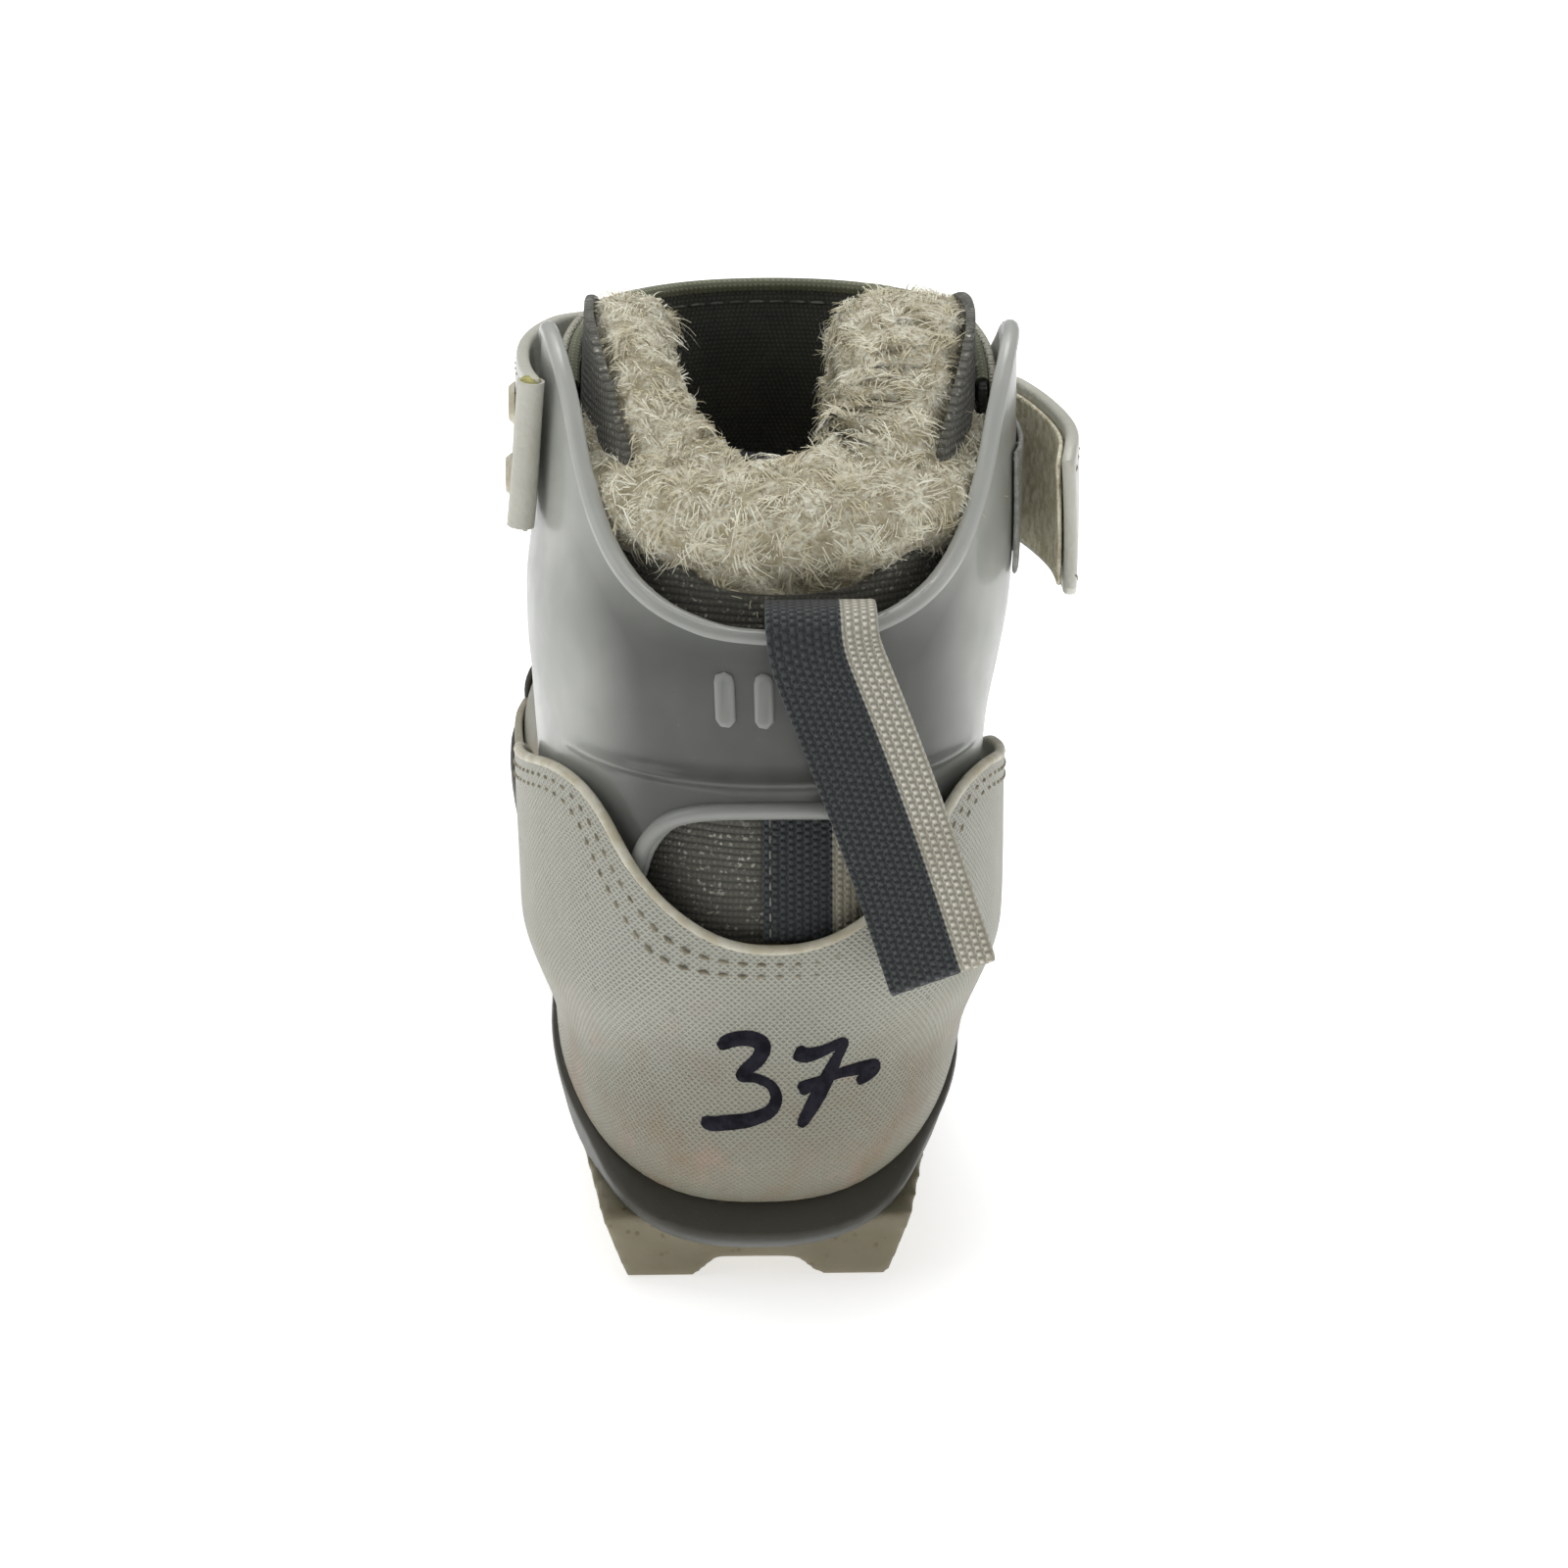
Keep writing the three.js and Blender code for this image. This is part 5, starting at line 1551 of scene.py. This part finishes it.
def make_quarter(name, side, bottom):
    patch = part_of_last(4, LAST_RING, quarter_side, foot_side, bottom,
                         lambda p: np.minimum(p[:, 0] * side, p[:, 1] - 12.6), throat,
                         lambda p: from_pivot(p) - 3.4)
    panel = shell(f"quarter_panel_{name}", patch, flat(-SHELL_WALL), flat(0), WHITE, 0.5)
    settle(panel, "foot", "leatherette", f"quarter_{name}")


def make_eyestay(name, side):
    def region(p):
        return np.minimum.reduce([
            p[:, 0] * side - 12.4, 19 - p[:, 0] * side, p[:, 1] - 90, 187.6 - p[:, 1], p[:, 2] - 52,
        ])

    stay = part_of_last(4, LAST_RING, foot_side, region, fine=1.3)
    for y in EYELETS:
        hole = np.hypot(stay.data[:, 0] - side * EYELET_X, stay.data[:, 1] - y)
        stay.cut(hole - EYELET_R)
    edge = shell(f"eyestay_{name}_facing", stay, flat(-SHELL_WALL), flat(0), LINING, 0.4)
    settle(edge, "foot", "leatherette", f"eyestay_{name}")
    for n, y in enumerate(EYELETS):
        ring = tube(f"eyelet_{name}_{n}", eyelet(side * EYELET_X, y), 0.45, STEEL, sides=8, closed=True)
        settle(ring, "foot", "steel")


def make_upper():
    bottom = above(floor_line(BOARD_TOP + GAP))
    patch = part_of_last(4, LAST_RING, vamp_side, foot_side, bottom, throat)
    settle(shell("vamp_panel", patch, flat(-SHELL_WALL), flat(0), WHITE, 0.5), "foot", "leatherette", "vamp")
    for name, side in SIDES:
        make_quarter(name, side, bottom)
        make_eyestay(name, side)
    whole = part_of_last(4, LAST_RING, foot_side, bottom)
    rows = stretches(lines_at(whole, vamp_side, [2.2, 4.2]),
                     lambda p: (np.abs(p[:, 0]) > 20) & (p[:, 1] > 111))
    front_stitches("vamp_stitches", rows, 0.0, "leatherette")
    cap = part_of_last(11, LAST_RING, toe_side, above_band)
    bumper = shell("toe_bumper", cap, flat(GAP), flat(GAP + TOE_CAP_WALL), BAND, 0.6)
    settle(bumper, "foot", "band_rubber", "toe_cap")
    cap_line = part_of_last(11, LAST_RING, above([(y, z + 1) for y, z in band_top]))
    rows = lines_at(cap_line, toe_side, [2.4])
    front_stitches("toe_stitches", rows, GAP + TOE_CAP_WALL, "band_rubber", GREY_THREAD)


def front_of_last():
    """Closely set points of the last's front near its middle, with their normals."""
    rows = Grid(4, LAST_RING, 260, 240).data
    return rows[np.abs(rows[:, 0]) < 24]


LAST_FRONT = front_of_last()


def eyelet(x, y):
    """A ring of points round an eyelet on the last's front, with their normals."""
    rows = []
    for t in np.linspace(0, 2 * np.pi, 17):
        want = np.array([x + EYELET_R * math.cos(t), y + EYELET_R * math.sin(t)])
        away = np.hypot(LAST_FRONT[:, 0] - want[0], LAST_FRONT[:, 1] - want[1])
        rows.append(LAST_FRONT[np.argmin(away)])
    return np.array(rows)


def make_covers():
    for name, side in SIDES:
        def beside_zip(p):
            return (p[:, 0] - ZIP_X) * side - ZIP_HALF - GAP

        patch = part_of_last(4, LAST_RING, cover_side, foot_side, beside_zip)
        panel = shell(f"cover_panel_{name}", patch, flat(GAP), flat(GAP + COVER_WALL), COVER, 0.6)
        settle(panel, "foot", "leatherette", f"cover_{name}")
        whole = part_of_last(4, LAST_RING, cover_side, foot_side)
        rows = lines_at(whole, beside_zip, [1.8])
        front_stitches(f"cover_stitches_{name}", rows, GAP + COVER_WALL, "leatherette")
    patch = part_of_last(4, LAST_RING, cover_side, foot_side,
                         lambda p: ZIP_HALF - np.abs(p[:, 0] - ZIP_X), fine=1.3)
    tape = shell("zip_band", patch, flat(GAP), flat(GAP + COVER_WALL * 0.75), LINING, 0.3)
    settle(tape, "foot", "dark_lining", "zip_tape")
    make_teeth()


TOOTH_SECTION = ((-0.38, 2.0), (-0.42, -0.35), (0.42, -0.35), (0.38, 2.0))
TOOTH_FACES = ((0, 1, 2, 3), (7, 6, 5, 4), (0, 4, 5, 1), (1, 5, 6, 2), (2, 6, 7, 3), (3, 7, 4, 0))


def make_teeth():
    """The zip's teeth along the middle of its tape, pointing left and right by turns."""
    whole = part_of_last(4, LAST_RING, cover_side, foot_side)
    middle = max(lines_at(whole, lambda p: p[:, 0] - ZIP_X, [0.0]), key=len)
    middle = middle[np.argsort(middle[:, 1])]
    spots = resample(smoothed(middle), TOOTH_PITCH)
    verts, faces = [], []
    for n, spot in enumerate(spots[2:-2]):
        normal = spot[3:6] / np.linalg.norm(spot[3:6])
        along = spots[n + 3, :3] - spots[n + 1, :3]
        along /= np.linalg.norm(along)
        side = np.cross(along, normal) * (1 if n % 2 else -1)
        base = spot[:3] + normal * (GAP + COVER_WALL * 0.7)
        start = len(verts)
        for up in (0, 0.55):
            for a, b in TOOTH_SECTION:
                verts.append(base + along * a + side * (b - up * 0.25) + normal * up)
        for quad in TOOTH_FACES:
            faces.append([start + q for q in quad])
    teeth = place("zip_teeth", np.array(verts), faces, None, DARK_PLASTIC, smooth=0)
    settle(teeth, "foot", "pull_plastic")


# ---- CAD pieces that are kept, with their finishes ----
def finish_kept():
    kept = {
        "binding_bar": STEEL, "shank": STEEL, "pivot_rivet_inner": STEEL, "pivot_rivet_outer": STEEL,
        "anchor_rivet_upper": RIM_ROLL, "anchor_rivet_lower": RIM_ROLL, "zip_slider": STEEL,
        "zip_pull": DARK_PLASTIC, "lasting_board": BOARD, "toe_puff": BOARD, "heel_stiffener": BOARD,
    }
    for name, material in kept.items():
        node = frame["nodes"][name]
        node.data.materials.clear()
        node.data.materials.append(material)


# ---- floor, light and camera ----
def make_floor():
    look = Look("studio_floor", roughness=0.9)
    look.set("Base Color", look.blend(look.noise(400), (0.93, 0.93, 0.93), (0.90, 0.90, 0.90)))
    look.set("Emission Color", (1.0, 1.0, 1.0))
    look.set("Emission Strength", FLOOR_GLOW)
    half = FLOOR_HALF
    mesh = bpy.data.meshes.new("floor")
    mesh.from_pydata([(-half, -half, 0), (half, -half, 0), (half, half, 0), (-half, half, 0)], [],
                     [(0, 1, 2, 3)])
    mesh.materials.append(look.material)
    floor = added("floor", mesh)
    floor.location.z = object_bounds()[0].z - 0.0002


def towards(direction):
    """The rotation that points a lamp or the camera this way."""
    return direction.to_track_quat("-Z", "Y").to_euler()


def make_light():
    world = bpy.data.worlds.new("studio")
    bpy.context.scene.world = world
    world.use_nodes = True
    sky = world.node_tree.nodes["Background"]
    sky.inputs["Color"].default_value = (1, 1, 1, 1)
    sky.inputs["Strength"].default_value = WORLD_LIGHT
    for name, spot, size, power in LIGHTS:
        lamp = bpy.data.lights.new(name, "AREA")
        lamp.shape = "DISK"
        lamp.size = size
        lamp.energy = power
        obj = added(name, lamp)
        obj.location = spot
        obj.rotation_euler = towards(Vector(LIGHT_AIM) - Vector(spot))
    sun = added("overhead_light", bpy.data.lights.new("overhead_light", "SUN"))
    sun.data.energy = SUN_LIGHT
    sun.data.angle = math.radians(60)
    sun.rotation_euler = towards(Vector((0.15, -0.35, -1)))


def make_camera():
    camera = added("camera", bpy.data.cameras.new("camera"))
    camera.data.lens = CAMERA_LENS
    camera.data.sensor_width = CAMERA_SENSOR
    rise, turn = math.radians(CAMERA_RISE), math.radians(CAMERA_TURN)
    away = Vector((math.sin(turn) * math.cos(rise), -math.cos(turn) * math.cos(rise), math.sin(rise)))
    camera.location = Vector(row(CAMERA_AIM)) + away * CAMERA_DISTANCE
    camera.rotation_euler = towards(-away)
    bpy.context.scene.camera = camera


bpy.context.scene.view_settings.view_transform = "Standard"

make_sole()
make_counter()
make_cuff()
make_sleeve()
make_fleece()
make_lining()
make_tongue()
make_shield()
make_strap()
make_tail()
make_heel_tape()
make_loop()
make_upper()
make_covers()
finish_kept()
make_floor()
make_light()
make_camera()
